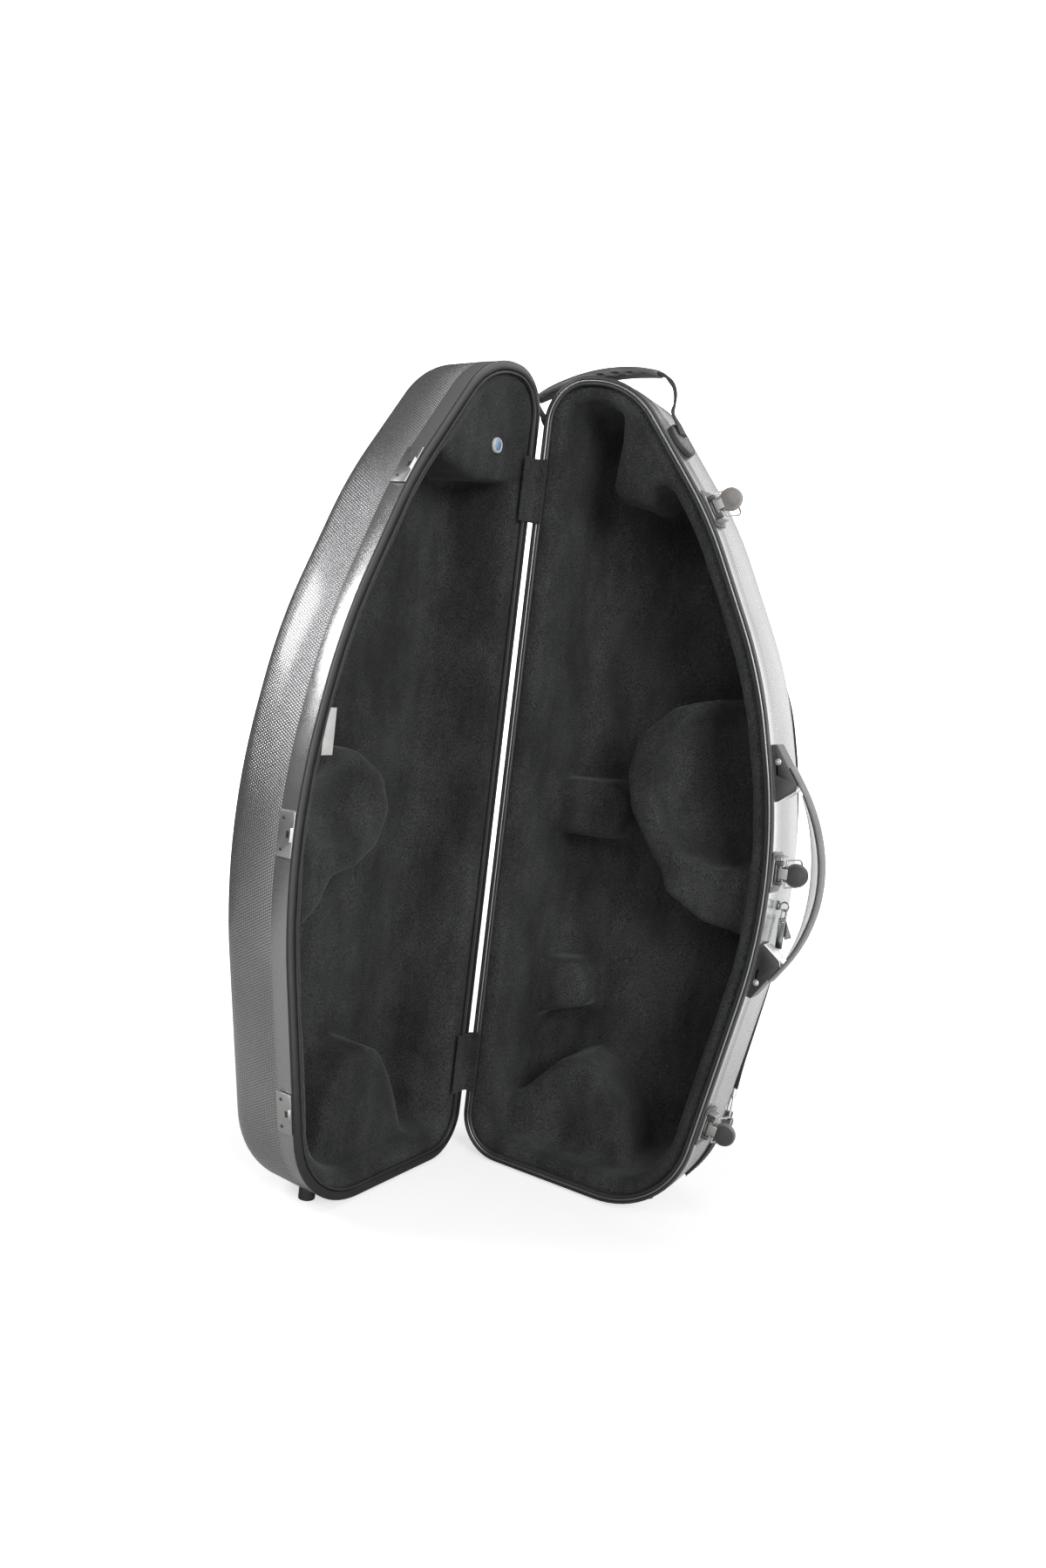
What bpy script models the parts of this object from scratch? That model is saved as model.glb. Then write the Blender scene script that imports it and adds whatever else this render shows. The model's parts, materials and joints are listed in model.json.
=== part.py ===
# Tenor saxophone case, standing on its end and open like a book.
# X runs across the base half, Y into its depth, Z up along the hinge axis.
# Both halves share one rim outline; the lid is modelled closed and turned open about the hinge.

import math

import bmesh
import bpy
from mathutils import Matrix, Vector

# Rim outline, seen from the open side: x from the hinge axis, z from the floor edge
HINGE_EDGE = 0.0022
CASE_LENGTH = 0.810
BOTTOM_CORNER_X = 0.249
WIDEST_X = 0.317
WIDEST_Z = 0.350
SHOULDER_X = 0.271
SHOULDER_Z = 0.540
UPPER_X = 0.199
UPPER_Z = CASE_LENGTH - 0.128
TOP_CORNER_X = 0.099
HINGE_FOOT_RADIUS = 0.044
BOTTOM_RADIUS = 0.100
WIDEST_RADIUS = 0.54
SHOULDER_RADIUS = 0.46
UPPER_RADIUS = 0.40
TOP_RADIUS = 0.095
HINGE_HEAD_RADIUS = 0.045

# Shells
BASE_DEPTH = 0.120
LID_DEPTH = 0.095
BASE_EDGE_RADIUS = 0.055
LID_EDGE_RADIUS = 0.035
WALL = 0.003
BAND_WIDTH = 0.022
BASE_DRAFT = math.tan(math.radians(4))
LID_DRAFT = math.tan(math.radians(3))
OPENING = math.radians(90)
GAP = 0.0003

# Rim profiles and seal
RIM_FACE = 0.0004
RIM_DEPTH = 0.0028
RIM_WIDTH = 0.0090
RIM_CHAMFER = 0.0010
SHELL_SETBACK = 0.0005
SEAL_WIDTH = 0.0022

# Foam linings
LEDGE_DEPTH = 0.0060
LEDGE_WIDTH = 0.015
LINING_SLOPE = 0.012
FLOOR_FOAM = 0.012
FLOOR_COVE = 0.018

# Hinges
HINGE_LENGTH = 0.060
HINGE_HEIGHTS = (CASE_LENGTH - 0.114, 0.098)
KNUCKLE_RADIUS = 0.0019
HINGE_PIN_RADIUS = 0.0009
PIN_CLEARANCE = 0.00008
LEAF_THICKNESS = 0.0009
LEAF_REACH = 0.019
COVER_THICKNESS = 0.0010
COVER_REACH_BASE = 0.0125
COVER_REACH_LID = 0.0235

# Latches and catches: height above the wall, depth from the rim, half widths along the rim
LATCH_HEIGHTS = (CASE_LENGTH - 0.1225, 0.3615, 0.1070)
LATCH_NAMES = ("upper", "middle", "lower")
PLATE_LENGTH = 0.037
PLATE_THICKNESS = 0.0019
PLATE_FROM = 0.001
PLATE_TO = 0.026
PLATE_CORNER = 0.004
LATCH_PIN_HEIGHT = 0.0056
LATCH_PIN_DEPTH = 0.0095
LATCH_PIN_RADIUS = 0.0015
LATCH_PIN_CLEARANCE = 0.00015
LATCH_PIN_HALF = 0.0109
BARREL_RADIUS = 0.0026
BARREL_HALF = 0.0071
EAR_FROM = 0.0075
EAR_TO = 0.0112
EAR_HALF_DEPTH = 0.0036
EAR_HEIGHT = 0.0086
TAB_RADIUS = 0.0110
TAB_REACH = 0.0154
TAB_THICKNESS = 0.0036
ARM_THICKNESS = 0.0020
ARM_HALF = 0.0060
BAIL_PIN_REACH = 0.0060
BAIL_PIN_FROM = 0.0040
BAIL_EYE_RADIUS = 0.0021
BAIL_EYE_CLEARANCE = 0.0003
BAIL_WIRE = 0.0009
BAIL_HALF = 0.0128
BAIL_REACH = 0.0218
BAIL_CORNER = 0.0060
BAIL_SHOULDER = 0.0010
LEVER_LEAN = math.radians(12)
BAIL_LEAN = math.radians(70)
CATCH_LENGTH = 0.040
CATCH_THICKNESS = 0.0015
CATCH_FROM = 0.003
CATCH_TO = 0.020
CATCH_LIP_FROM = 0.0034
CATCH_LIP_TO = 0.0046
CATCH_LIP_HEIGHT = 0.0045
CATCH_LIP_HALF = 0.0062

# Side handle: a strip over the sloping faces of two folded brackets, thicker between them
HANDLE_TOP = 0.426
HANDLE_BOTTOM = 0.293
HANDLE_FROM = 0.0090
HANDLE_WIDTH = 0.0130
HANDLE_LAP = 0.017
HANDLE_BULGE = 0.067
HANDLE_END_THICKNESS = 0.0028
HANDLE_MIDDLE_THICKNESS = 0.0110
BRACKET_FROM = 0.0082
BRACKET_WIDTH = 0.0178
BRACKET_LENGTH = 0.0525
BRACKET_CORNER = (0.0188, 0.0092)
BRACKET_NOSE = (0.0208, 0.0149)
BRACKET_TIP = 0.0034
BRACKET_ROOT = 0.02
BRACKET_WALL = 0.0016
RIVET_RADIUS = 0.0028
RIVET_HEAD = 0.0016
RIVET_FROM_TIP = 0.016
RIVET_HEIGHT = 0.0040
BRACKET_SLOT_HEIGHT = 0.0023
BRACKET_SLOT_LENGTH = 0.009
BRACKET_SLOT_WIDTH = 0.0018

# Top handle; heights are rises above the case's end, drops below it
GRIP_DEPTH = 0.0260
GRIP_WIDTH = 0.021
GRIP_THICKNESS = 0.0095
GRIP_END_THICKNESS = 0.0060
GRIP_FROM = -0.024
GRIP_TO = 0.113
GRIP_PEAK_X = 0.078
GRIP_PEAK_RISE = 0.0130
GRIP_BOW = 2.65
WEBBING_WIDTH = 0.015
WEBBING_RIGHT_LOOP = (
    (0.1220, 0.0025), (0.1290, -0.0040), (0.1324, -0.0130), (0.1328, -0.0220), (0.1322, -0.0300)
)
WEBBING_THICKNESS = 0.0022
ANCHOR_RADIUS = 0.0178
ANCHOR_THICKNESS = 0.0048
ANCHOR_HINGE_SIDE_DROP = 0.065
ANCHOR_SLOPE_DROP = 0.058

# Feet
FOOT_RADIUS = 0.008
FOOT_DROP = 0.003
FOOT_SEAT = 0.030
FOOT_INNER = 0.062
FOOT_OUTER = 0.200
BASE_FOOT_DEPTH = 0.055
LID_FOOT_DEPTH = 0.035

# Key set, strap lugs, hooks and shoulder straps
KEY_HEIGHT = 0.327
KEY_DEPTH = 0.036
EYE_RADIUS = 0.0040
EYE_WIRE = 0.0009
RING_RADIUS = 0.0062
RING_WIRE = 0.0007
KEY_LENGTH = 0.026
SPARE_KEY_LENGTH = 0.0170
KEY_WIDTH = 0.0068
KEY_THICKNESS = 0.0012
KEY_EYE_RADIUS = 0.0018
KEY_EYE_MARGIN = 0.0034
KEY_OFFSET = 0.0014
KEY_SPREAD = math.radians(-25)
LUG_HEIGHT = 0.086
LUG_THICKNESS = 0.0032
LUG_CLEARANCE = 0.0012
LUG_LEG = 0.0045
LUG_BRIDGE = 0.0018
LUG_ROOT = 0.016
HOOK_WIRE = 0.0013
HOOK_LENGTH = 0.024
HOOK_WIDTH = 0.012
HOOK_BARREL = 0.0030
STRAP_WIDTH = 0.024
STRAP_THICKNESS = 0.0030
BOW_ALLOWANCE = 0.0012
PAD_WIDTH = 0.048
PAD_THICKNESS = 0.009
BUTTON_DROP = 0.080
BUTTON_RADIUS = 0.0075
BUTTON_HEIGHT = 0.004

ARC_STEPS = (6, 8, 5, 3, 3, 7, 6)
LEAST_RADIUS = 0.004
EDGE_STEPS = 4

BASE_FLOOR = BASE_DEPTH - WALL - FLOOR_FOAM
LID_FLOOR = LID_DEPTH - WALL - FLOOR_FOAM
HALVES = {
    "base": (1, BASE_DEPTH, BASE_EDGE_RADIUS, BASE_FLOOR, BASE_DRAFT),
    "lid": (-1, LID_DEPTH, LID_EDGE_RADIUS, LID_FLOOR, LID_DRAFT),
}


def clear_scene():
    for item in list(bpy.data.objects):
        bpy.data.objects.remove(item, do_unlink=True)


def new_collection(name):
    collection = bpy.data.collections.new(name)
    bpy.context.scene.collection.children.link(collection)
    return collection


def material(name, colour, roughness, metallic=0.0):
    made = bpy.data.materials.get(name)
    if made is None:
        made = bpy.data.materials.new(name)
        made.use_nodes = True
        shader = made.node_tree.nodes["Principled BSDF"]
        shader.inputs["Base Color"].default_value = (*colour, 1)
        shader.inputs["Roughness"].default_value = roughness
        shader.inputs["Metallic"].default_value = metallic
    return made


MATERIALS = {
    "shell": ((0.62, 0.63, 0.64), 0.25, 0.6),
    "rim": ((0.03, 0.03, 0.032), 0.25, 0.4),
    "plush": ((0.022, 0.023, 0.023), 0.95, 0.0),
    "rubber": ((0.02, 0.02, 0.02), 0.6, 0.0),
    "steel": ((0.55, 0.55, 0.56), 0.3, 1.0),
    "dark_metal": ((0.07, 0.068, 0.065), 0.4, 0.7),
    "grip": ((0.10, 0.10, 0.10), 0.55, 0.0),
    "webbing": ((0.03, 0.04, 0.038), 0.9, 0.0),
    "button": ((0.25, 0.38, 0.6), 0.4, 0.0),
    "handle": ((0.30, 0.29, 0.30), 0.5, 0.0),
}


def finish(part, mesh_name, parent=None):
    """Give a part its material and parent, and shade its round faces smooth."""
    colour, roughness, metallic = MATERIALS[mesh_name]
    part.data.materials.clear()
    part.data.materials.append(material(mesh_name, colour, roughness, metallic))
    part.data.shade_smooth()
    part.data.set_sharp_from_angle(angle=math.radians(35))
    if parent is not None:
        part.parent = parent
    return part


def object_from(bm, name, collection):
    bmesh.ops.recalc_face_normals(bm, faces=bm.faces)
    mesh = bpy.data.meshes.new(name)
    bm.to_mesh(mesh)
    bm.free()
    made = bpy.data.objects.new(name, mesh)
    collection.objects.link(made)
    return made


def loft(name, rings, collection, closed=False):
    """Skin through rings of equal count; the ends are capped unless the rings close on themselves."""
    bm = bmesh.new()
    rows = [[bm.verts.new(point) for point in ring] for ring in rings]
    count = len(rows[0])
    pairs = list(zip(rows, rows[1:]))
    if closed:
        pairs.append((rows[-1], rows[0]))
    for first, second in pairs:
        for i in range(count):
            j = (i + 1) % count
            bm.faces.new((first[i], first[j], second[j], second[i]))
    if not closed:
        bm.faces.new(rows[0])
        bm.faces.new(rows[-1])
    return object_from(bm, name, collection)


def block(name, low, high, collection):
    bm = bmesh.new()
    bmesh.ops.create_cube(bm, size=1)
    size = [high[i] - low[i] for i in range(3)]
    centre = [(high[i] + low[i]) / 2 for i in range(3)]
    bmesh.ops.transform(
        bm, matrix=Matrix.Translation(centre) @ Matrix.Diagonal((*size, 1)), verts=bm.verts
    )
    return object_from(bm, name, collection)


def cylinder(name, start, end, radius, collection, sides=20, end_radius=None):
    start, end = Vector(start), Vector(end)
    axis = end - start
    turn = axis.to_track_quat("Z", "Y").to_matrix().to_4x4()
    bm = bmesh.new()
    bmesh.ops.create_cone(
        bm,
        cap_ends=True,
        segments=sides,
        radius1=radius,
        radius2=radius if end_radius is None else end_radius,
        depth=axis.length,
        matrix=Matrix.Translation((start + end) / 2) @ turn,
    )
    return object_from(bm, name, collection)


def prism(name, outline, low, high, collection):
    """Flat outline of (x, z) points, between two depths."""
    rings = [[(x, depth, z) for x, z in outline] for depth in (low, high)]
    return loft(name, rings, collection)


def wire(name, points, radius, collection, closed=False, resolution=1):
    """Round wire along points, made a plain closed mesh."""
    curve = bpy.data.curves.new(name, "CURVE")
    curve.dimensions = "3D"
    curve.bevel_depth = radius
    curve.bevel_resolution = resolution
    curve.use_fill_caps = True
    spline = curve.splines.new("POLY")
    spline.points.add(len(points) - 1)
    for knot, point in zip(spline.points, points):
        knot.co = (*point, 1)
    spline.use_cyclic_u = closed
    guide = bpy.data.objects.new(name + "_line", curve)
    collection.objects.link(guide)
    graph = bpy.context.evaluated_depsgraph_get()
    mesh = bpy.data.meshes.new_from_object(guide.evaluated_get(graph))
    bpy.data.objects.remove(guide, do_unlink=True)
    bm = bmesh.new()
    bm.from_mesh(mesh)
    bpy.data.meshes.remove(mesh)
    bmesh.ops.remove_doubles(bm, verts=bm.verts, dist=1e-6)
    return object_from(bm, name, collection)


def combine(target, tool, operation):
    """Join, cut or intersect two solids, and drop the tool."""
    step = target.modifiers.new(operation.lower(), "BOOLEAN")
    step.operation = operation
    step.solver = "EXACT"
    step.object = tool
    graph = bpy.context.evaluated_depsgraph_get()
    mesh = bpy.data.meshes.new_from_object(target.evaluated_get(graph))
    target.modifiers.clear()
    target.data = mesh
    bpy.data.objects.remove(tool, do_unlink=True)
    bm = bmesh.new()
    bm.from_mesh(mesh)
    bmesh.ops.remove_doubles(bm, verts=bm.verts, dist=2e-6)
    bmesh.ops.dissolve_degenerate(bm, edges=bm.edges, dist=2e-6)
    bm.to_mesh(mesh)
    bm.free()
    return target


def bevel(part, width, segments=2, angle=40):
    """Round the sharp edges of a part for good."""
    step = part.modifiers.new("bevel", "BEVEL")
    step.width = width
    step.segments = segments
    step.limit_method = "ANGLE"
    step.angle_limit = math.radians(angle)
    graph = bpy.context.evaluated_depsgraph_get()
    part_mesh = bpy.data.meshes.new_from_object(part.evaluated_get(graph))
    part.modifiers.clear()
    part.data = part_mesh
    return part


def rim_corners():
    return [
        (HINGE_EDGE, 0.0, HINGE_FOOT_RADIUS),
        (BOTTOM_CORNER_X, 0.0, BOTTOM_RADIUS),
        (WIDEST_X, WIDEST_Z, WIDEST_RADIUS),
        (SHOULDER_X, SHOULDER_Z, SHOULDER_RADIUS),
        (UPPER_X, UPPER_Z, UPPER_RADIUS),
        (TOP_CORNER_X, CASE_LENGTH, TOP_RADIUS),
        (HINGE_EDGE, CASE_LENGTH, HINGE_HEAD_RADIUS),
    ]


def inset_polygon(corners, inset):
    """Corners of a polygon, listed anticlockwise, with every edge moved inwards by the inset."""
    corners = [Vector(c[:2]) for c in corners]
    count = len(corners)
    edges = []
    for i in range(count):
        start, end = corners[i], corners[(i + 1) % count]
        along = (end - start).normalized()
        inward = Vector((-along.y, along.x))
        edges.append((start + inward * inset, along))
    moved = []
    for i in range(count):
        (p, u), (q, v) = edges[i - 1], edges[i]
        cross = u.x * v.y - u.y * v.x
        t = ((q - p).x * v.y - (q - p).y * v.x) / cross
        moved.append(p + u * t)
    return moved


def outline(inset):
    """Rounded rim outline moved inwards by the inset, as (x, z) points."""
    corners = inset_polygon(rim_corners(), inset)
    count = len(corners)
    reach = []
    turns = []
    for i, (_, _, radius) in enumerate(rim_corners()):
        back = (corners[i - 1] - corners[i]).normalized()
        ahead = (corners[(i + 1) % count] - corners[i]).normalized()
        half = math.acos(max(-1, min(1, back.dot(ahead)))) / 2
        turns.append((back, ahead, half))
        reach.append(max(radius - inset, LEAST_RADIUS) / math.tan(half))
    for i in range(count):
        j = (i + 1) % count
        room = (corners[j] - corners[i]).length * 0.98
        total = reach[i] + reach[j]
        if total > room:
            reach[i] *= room / total
            reach[j] *= room / total
    points = []
    for i, (back, ahead, half) in enumerate(turns):
        radius = reach[i] * math.tan(half)
        centre = corners[i] + (back + ahead).normalized() * radius / math.sin(half)
        first = corners[i] + back * reach[i] - centre
        last = corners[i] + ahead * reach[i] - centre
        start = math.atan2(first.y, first.x)
        sweep = (math.atan2(last.y, last.x) - start + math.pi) % (2 * math.pi) - math.pi
        for k in range(ARC_STEPS[i] + 1):
            angle = start + sweep * k / ARC_STEPS[i]
            points.append(centre + Vector((math.cos(angle), math.sin(angle))) * radius)
    return points


def ring_at(half, inset, depth):
    side = HALVES[half][0]
    return [(p.x, side * depth, p.y) for p in outline(inset)]


def wall_profile(half, offset, start):
    """(inset, depth) points down the wall of a half and round its back edge."""
    _, depth, radius, _, draft = HALVES[half]
    centre_depth = depth - radius
    centre_inset = SHELL_SETBACK + draft * (centre_depth - BAND_WIDTH) + radius
    points = [(SHELL_SETBACK + offset, start), (SHELL_SETBACK + offset, BAND_WIDTH)]
    for k in range(EDGE_STEPS + 1):
        angle = math.pi / 2 * k / EDGE_STEPS
        reach = radius - offset
        points.append(
            (centre_inset - reach * math.cos(angle), centre_depth + reach * math.sin(angle))
        )
    return points


def envelope(half, offset, front, collection):
    """Solid filled outer form of a half, used to seat pieces on the wall."""
    profile = wall_profile(half, offset, front)
    return loft("envelope", [ring_at(half, *point) for point in profile], collection)


def lining_profile(half):
    """(inset, depth) points of the plush surface, from the ledge to the floor."""
    floor = HALVES[half][3]
    start = RIM_WIDTH + GAP
    if half == "lid":
        start += SEAL_WIDTH + GAP
    inner = RIM_WIDTH + GAP + LEDGE_WIDTH
    foot = inner + LINING_SLOPE
    return [
        (start, LEDGE_DEPTH - 0.0020),
        (inner - 0.003, LEDGE_DEPTH),
        (inner, LEDGE_DEPTH + 0.004),
        (foot - 0.004, floor - FLOOR_COVE),
        (foot, floor - FLOOR_COVE / 4),
        (foot + FLOOR_COVE / 2, floor),
    ]


def cavity(half, collection):
    """Solid that fills the open inside of a half, a gap clear of the plush."""
    profile = [(inset + GAP, depth) for inset, depth in lining_profile(half)]
    profile[-1] = (profile[-1][0], profile[-1][1] - GAP)
    profile.insert(0, (profile[0][0], -0.02))
    return loft("cavity", [ring_at(half, *point) for point in profile], collection)


def add_shell(half, parts, parent):
    start = RIM_DEPTH + RIM_FACE + GAP
    outer = wall_profile(half, 0, start)
    inner = wall_profile(half, WALL, start)
    rings = [ring_at(half, *point) for point in outer[::-1] + inner]
    finish(loft(half + "_shell", rings, parts), "shell", parent)


def add_rim(half, parts, parent):
    back = RIM_FACE + RIM_DEPTH
    profile = [
        (0, back),
        (0, RIM_FACE + RIM_CHAMFER),
        (RIM_CHAMFER, RIM_FACE),
        (RIM_WIDTH - RIM_CHAMFER, RIM_FACE),
        (RIM_WIDTH, RIM_FACE + RIM_CHAMFER),
        (RIM_WIDTH, back),
    ]
    rings = [ring_at(half, *point) for point in profile]
    finish(loft(half + "_rim", rings, parts, closed=True), "rim", parent)


def add_lining(half, parts, parent):
    behind_rim = RIM_FACE + RIM_DEPTH + 2 * GAP
    outer = wall_profile(half, WALL + GAP, behind_rim)
    inner = lining_profile(half)
    neck = [(RIM_WIDTH + GAP, behind_rim)]
    if half == "lid":
        neck.append((RIM_WIDTH + GAP, RIM_FACE + RIM_DEPTH))
        neck.append((inner[0][0], RIM_FACE + RIM_DEPTH))
    rings = [ring_at(half, *point) for point in outer[::-1] + neck + inner]
    finish(loft(half + "_lining", rings, parts), "plush", parent)


def add_seal(parts, parent):
    inner = RIM_WIDTH + GAP
    front = RIM_FACE
    back = RIM_FACE + RIM_DEPTH - GAP
    profile = [(inner, back), (inner, front), (inner + SEAL_WIDTH, front), (inner + SEAL_WIDTH, back)]
    rings = [ring_at("lid", *point) for point in profile]
    finish(loft("lid_seal", rings, parts, closed=True), "rubber", parent)


def add_foam_block(name, half, shape, top, parts, parent, dish=None):
    """Foam block standing on the plush floor, trimmed to the walls around it."""
    side, floor = HALVES[half][0], HALVES[half][3]
    made = prism(name, shape, side * top, side * (floor + 0.01), parts)
    bevel(made, 0.007, 2, 50)
    if dish is not None:
        centre, radii = dish
        bm = bmesh.new()
        bmesh.ops.create_uvsphere(bm, u_segments=20, v_segments=12, radius=1)
        place = Matrix.Translation((centre[0], side * centre[1], centre[2]))
        bmesh.ops.transform(bm, matrix=place @ Matrix.Diagonal((*radii, 1)), verts=bm.verts)
        combine(made, object_from(bm, "dish", parts), "DIFFERENCE")
    combine(made, cavity(half, parts), "INTERSECT")
    finish(made, "plush", parent)


def below_end(points):
    """Outline points given as x and the rise above the case's end."""
    return [(x, CASE_LENGTH + rise) for x, rise in points]


BASE_BLOCKS = {
    "base_neck_block": (
        below_end([(0.084, 0.030), (0.086, -0.065), (0.082, -0.105), (0.092, -0.120), (0.114, -0.120),
                   (0.130, -0.104), (0.22, -0.104), (0.22, 0.030)]),
        0.0100, None,
    ),
    "base_bell_cradle": (
        [(0.33, 0.512), (0.215, 0.512), (0.170, 0.498), (0.138, 0.468), (0.129, 0.430),
         (0.138, 0.390), (0.165, 0.352), (0.182, 0.335), (0.186, 0.318), (0.230, 0.295),
         (0.33, 0.288)],
        0.0260, ((0.236, 0.030, 0.432), (0.074, 0.058, 0.082)),
    ),
    "base_upper_rest": (
        [(-0.02, 0.402), (0.098, 0.412), (0.116, 0.402), (0.120, 0.372), (0.105, 0.350), (-0.02, 0.345)],
        0.0620, None,
    ),
    "base_lower_rest": (
        [(-0.02, 0.202), (0.075, 0.215), (0.092, 0.200), (0.095, 0.168), (0.060, 0.155),
         (0.020, 0.137), (-0.02, 0.135)],
        0.0680, None,
    ),
    "base_bow_block": (
        [(-0.02, -0.02), (-0.02, 0.024), (0.045, 0.068), (0.085, 0.112), (0.110, 0.124),
         (0.140, 0.112), (0.165, 0.080), (0.180, 0.030), (0.186, -0.02)],
        0.0360, None,
    ),
}
LID_BLOCKS = {
    "lid_neck_block": (
        below_end([(-0.02, 0.030), (-0.02, -0.098), (0.030, -0.111), (0.083, -0.117), (0.130, -0.110),
                   (0.150, -0.092), (0.22, 0.030)]),
        0.0100, None,
    ),
    "lid_bell_pad": (
        [(0.33, 0.440), (0.250, 0.437), (0.190, 0.428), (0.150, 0.405), (0.136, 0.370),
         (0.150, 0.335), (0.180, 0.316), (0.212, 0.310), (0.225, 0.285), (0.245, 0.268), (0.33, 0.262)],
        0.0300, ((0.215, 0.016, 0.378), (0.060, 0.030, 0.046)),
    ),
    "lid_bow_block": (
        [(0.195, -0.02), (0.200, 0.060), (0.190, 0.098), (0.170, 0.128), (0.145, 0.138),
         (0.115, 0.125), (0.090, 0.090), (0.072, 0.050), (0.050, -0.02)],
        0.0260, None,
    ),
}


def wall_crossing(z, inset, outer=True):
    """x and outward angle of the outline where it crosses a height, on its outer or hinge side."""
    points = outline(inset)
    best = None
    for a, b in zip(points, points[1:] + points[:1]):
        if (a.y - z) * (b.y - z) > 0 or abs(b.y - a.y) < 1e-9:
            continue
        x = a.x + (b.x - a.x) * (z - a.y) / (b.y - a.y)
        if best is None or (x > best[0]) == outer:
            best = (x, math.atan2(a.x - b.x, b.y - a.y))
    return best


def station(z, outer=True):
    """Frame on the rim's outer edge: X outwards, Y into the depth, Z along the rim."""
    x, angle = wall_crossing(z, 0, outer)
    return Matrix.Translation((x, 0, z)) @ Matrix.Rotation(-angle, 4, "Y")


def surface_point(z, edge_angle, lift, half="base"):
    """Point above the back edge curve of the outer wall, its outward normal and its tangent."""
    _, depth, radius, _, draft = HALVES[half]
    centre_depth = depth - radius
    centre_inset = SHELL_SETBACK + draft * (centre_depth - BAND_WIDTH) + radius
    reach = radius + lift
    inset = centre_inset - reach * math.cos(edge_angle)
    x, angle = wall_crossing(z, inset)
    point = Vector((x, centre_depth + reach * math.sin(edge_angle), z))
    outward = Vector((math.cos(angle), 0, math.sin(angle)))
    normal = outward * math.cos(edge_angle) + Vector((0, 1, 0)) * math.sin(edge_angle)
    return point, normal.normalized()


def band(name, points, normals, widths, thicknesses, collection):
    """Flat strap along points: each section lies across the path, its thickness along the normal."""
    rings = []
    count = len(points)
    for i, (point, normal) in enumerate(zip(points, normals)):
        ahead = points[min(i + 1, count - 1)] - points[max(i - 1, 0)]
        across = ahead.normalized().cross(normal).normalized() * widths[i] / 2
        up = across.cross(ahead).normalized() * thicknesses[i] / 2
        if up.dot(normal) < 0:
            up = -up
        rings.append([point - across - up, point + across - up, point + across + up, point - across + up])
    return loft(name, rings, collection)


def add_hinge(label, height, parts, base, lid):
    half_length = HINGE_LENGTH / 2
    third = HINGE_LENGTH / 6
    bore = HINGE_PIN_RADIUS + PIN_CLEARANCE
    leaf_from = KNUCKLE_RADIUS - LEAF_THICKNESS
    rolls = {"base": [(-half_length, -third - GAP), (third + GAP, half_length)], "lid": [(-third, third)]}
    for half, parent in (("base", base), ("lid", lid)):
        side = HALVES[half][0]
        name = half + "_hinge_leaf_" + label
        low, high = sorted((side * 0.0002, side * LEAF_REACH))
        made = None
        for start, end in rolls[half]:
            bottom, top = height + start, height + end
            roll = cylinder("roll", (0, 0, bottom), (0, 0, top), KNUCKLE_RADIUS, parts)
            web = block("web", (leaf_from, low, bottom), (KNUCKLE_RADIUS, high, top), parts)
            combine(roll, web, "UNION")
            if made is None:
                made = roll
            else:
                combine(made, roll, "UNION")
        inner, outer = sorted((side * (KNUCKLE_RADIUS + 2 * GAP), side * LEAF_REACH))
        leaf = block(
            "leaf",
            (leaf_from, inner, height - half_length),
            (KNUCKLE_RADIUS, outer, height + half_length),
            parts,
        )
        combine(made, leaf, "UNION")
        drill = cylinder(
            "drill", (0, 0, height - half_length - 0.01), (0, 0, height + half_length + 0.01), bore, parts
        )
        combine(made, drill, "DIFFERENCE")
        made.name = name
        finish(made, "steel", parent)
    pin = cylinder(
        "hinge_pin_" + label,
        (0, 0, height - half_length - 0.0006),
        (0, 0, height + half_length + 0.0006),
        HINGE_PIN_RADIUS,
        parts,
    )
    finish(pin, "steel", base)


def add_hinge_cover(label, height, parts, base):
    """Fabric patch that lies on both rims, over the knuckles, with the case open."""
    lift = COVER_THICKNESS / 2 + GAP
    bulge = KNUCKLE_RADIUS + 2 * GAP + COVER_THICKNESS / 2
    near = [Vector((HINGE_EDGE + 0.003, -lift)), Vector((HINGE_EDGE, -lift - 0.0004))]
    path = [Vector((COVER_REACH_BASE, -lift)), *near]
    for k in range(1, 4):
        angle = -math.pi / 2 * k / 4
        path.append(Vector((math.cos(angle), math.sin(angle))) * (bulge + 0.0004))
    path += [Vector((-p.y, -p.x)) for p in near[::-1]]
    path.append(Vector((lift, -COVER_REACH_LID)))
    points = [Vector((p.x, p.y, height)) for p in path]
    normals = []
    for i in range(len(points)):
        ahead = points[min(i + 1, len(points) - 1)] - points[max(i - 1, 0)]
        normals.append(Vector((0, 0, 1)).cross(ahead).normalized())
    widths = [HINGE_LENGTH + 0.002] * len(points)
    made = band("hinge_cover_" + label, points, normals, widths, [COVER_THICKNESS] * len(points), parts)
    finish(made, "plush", base)


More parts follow.
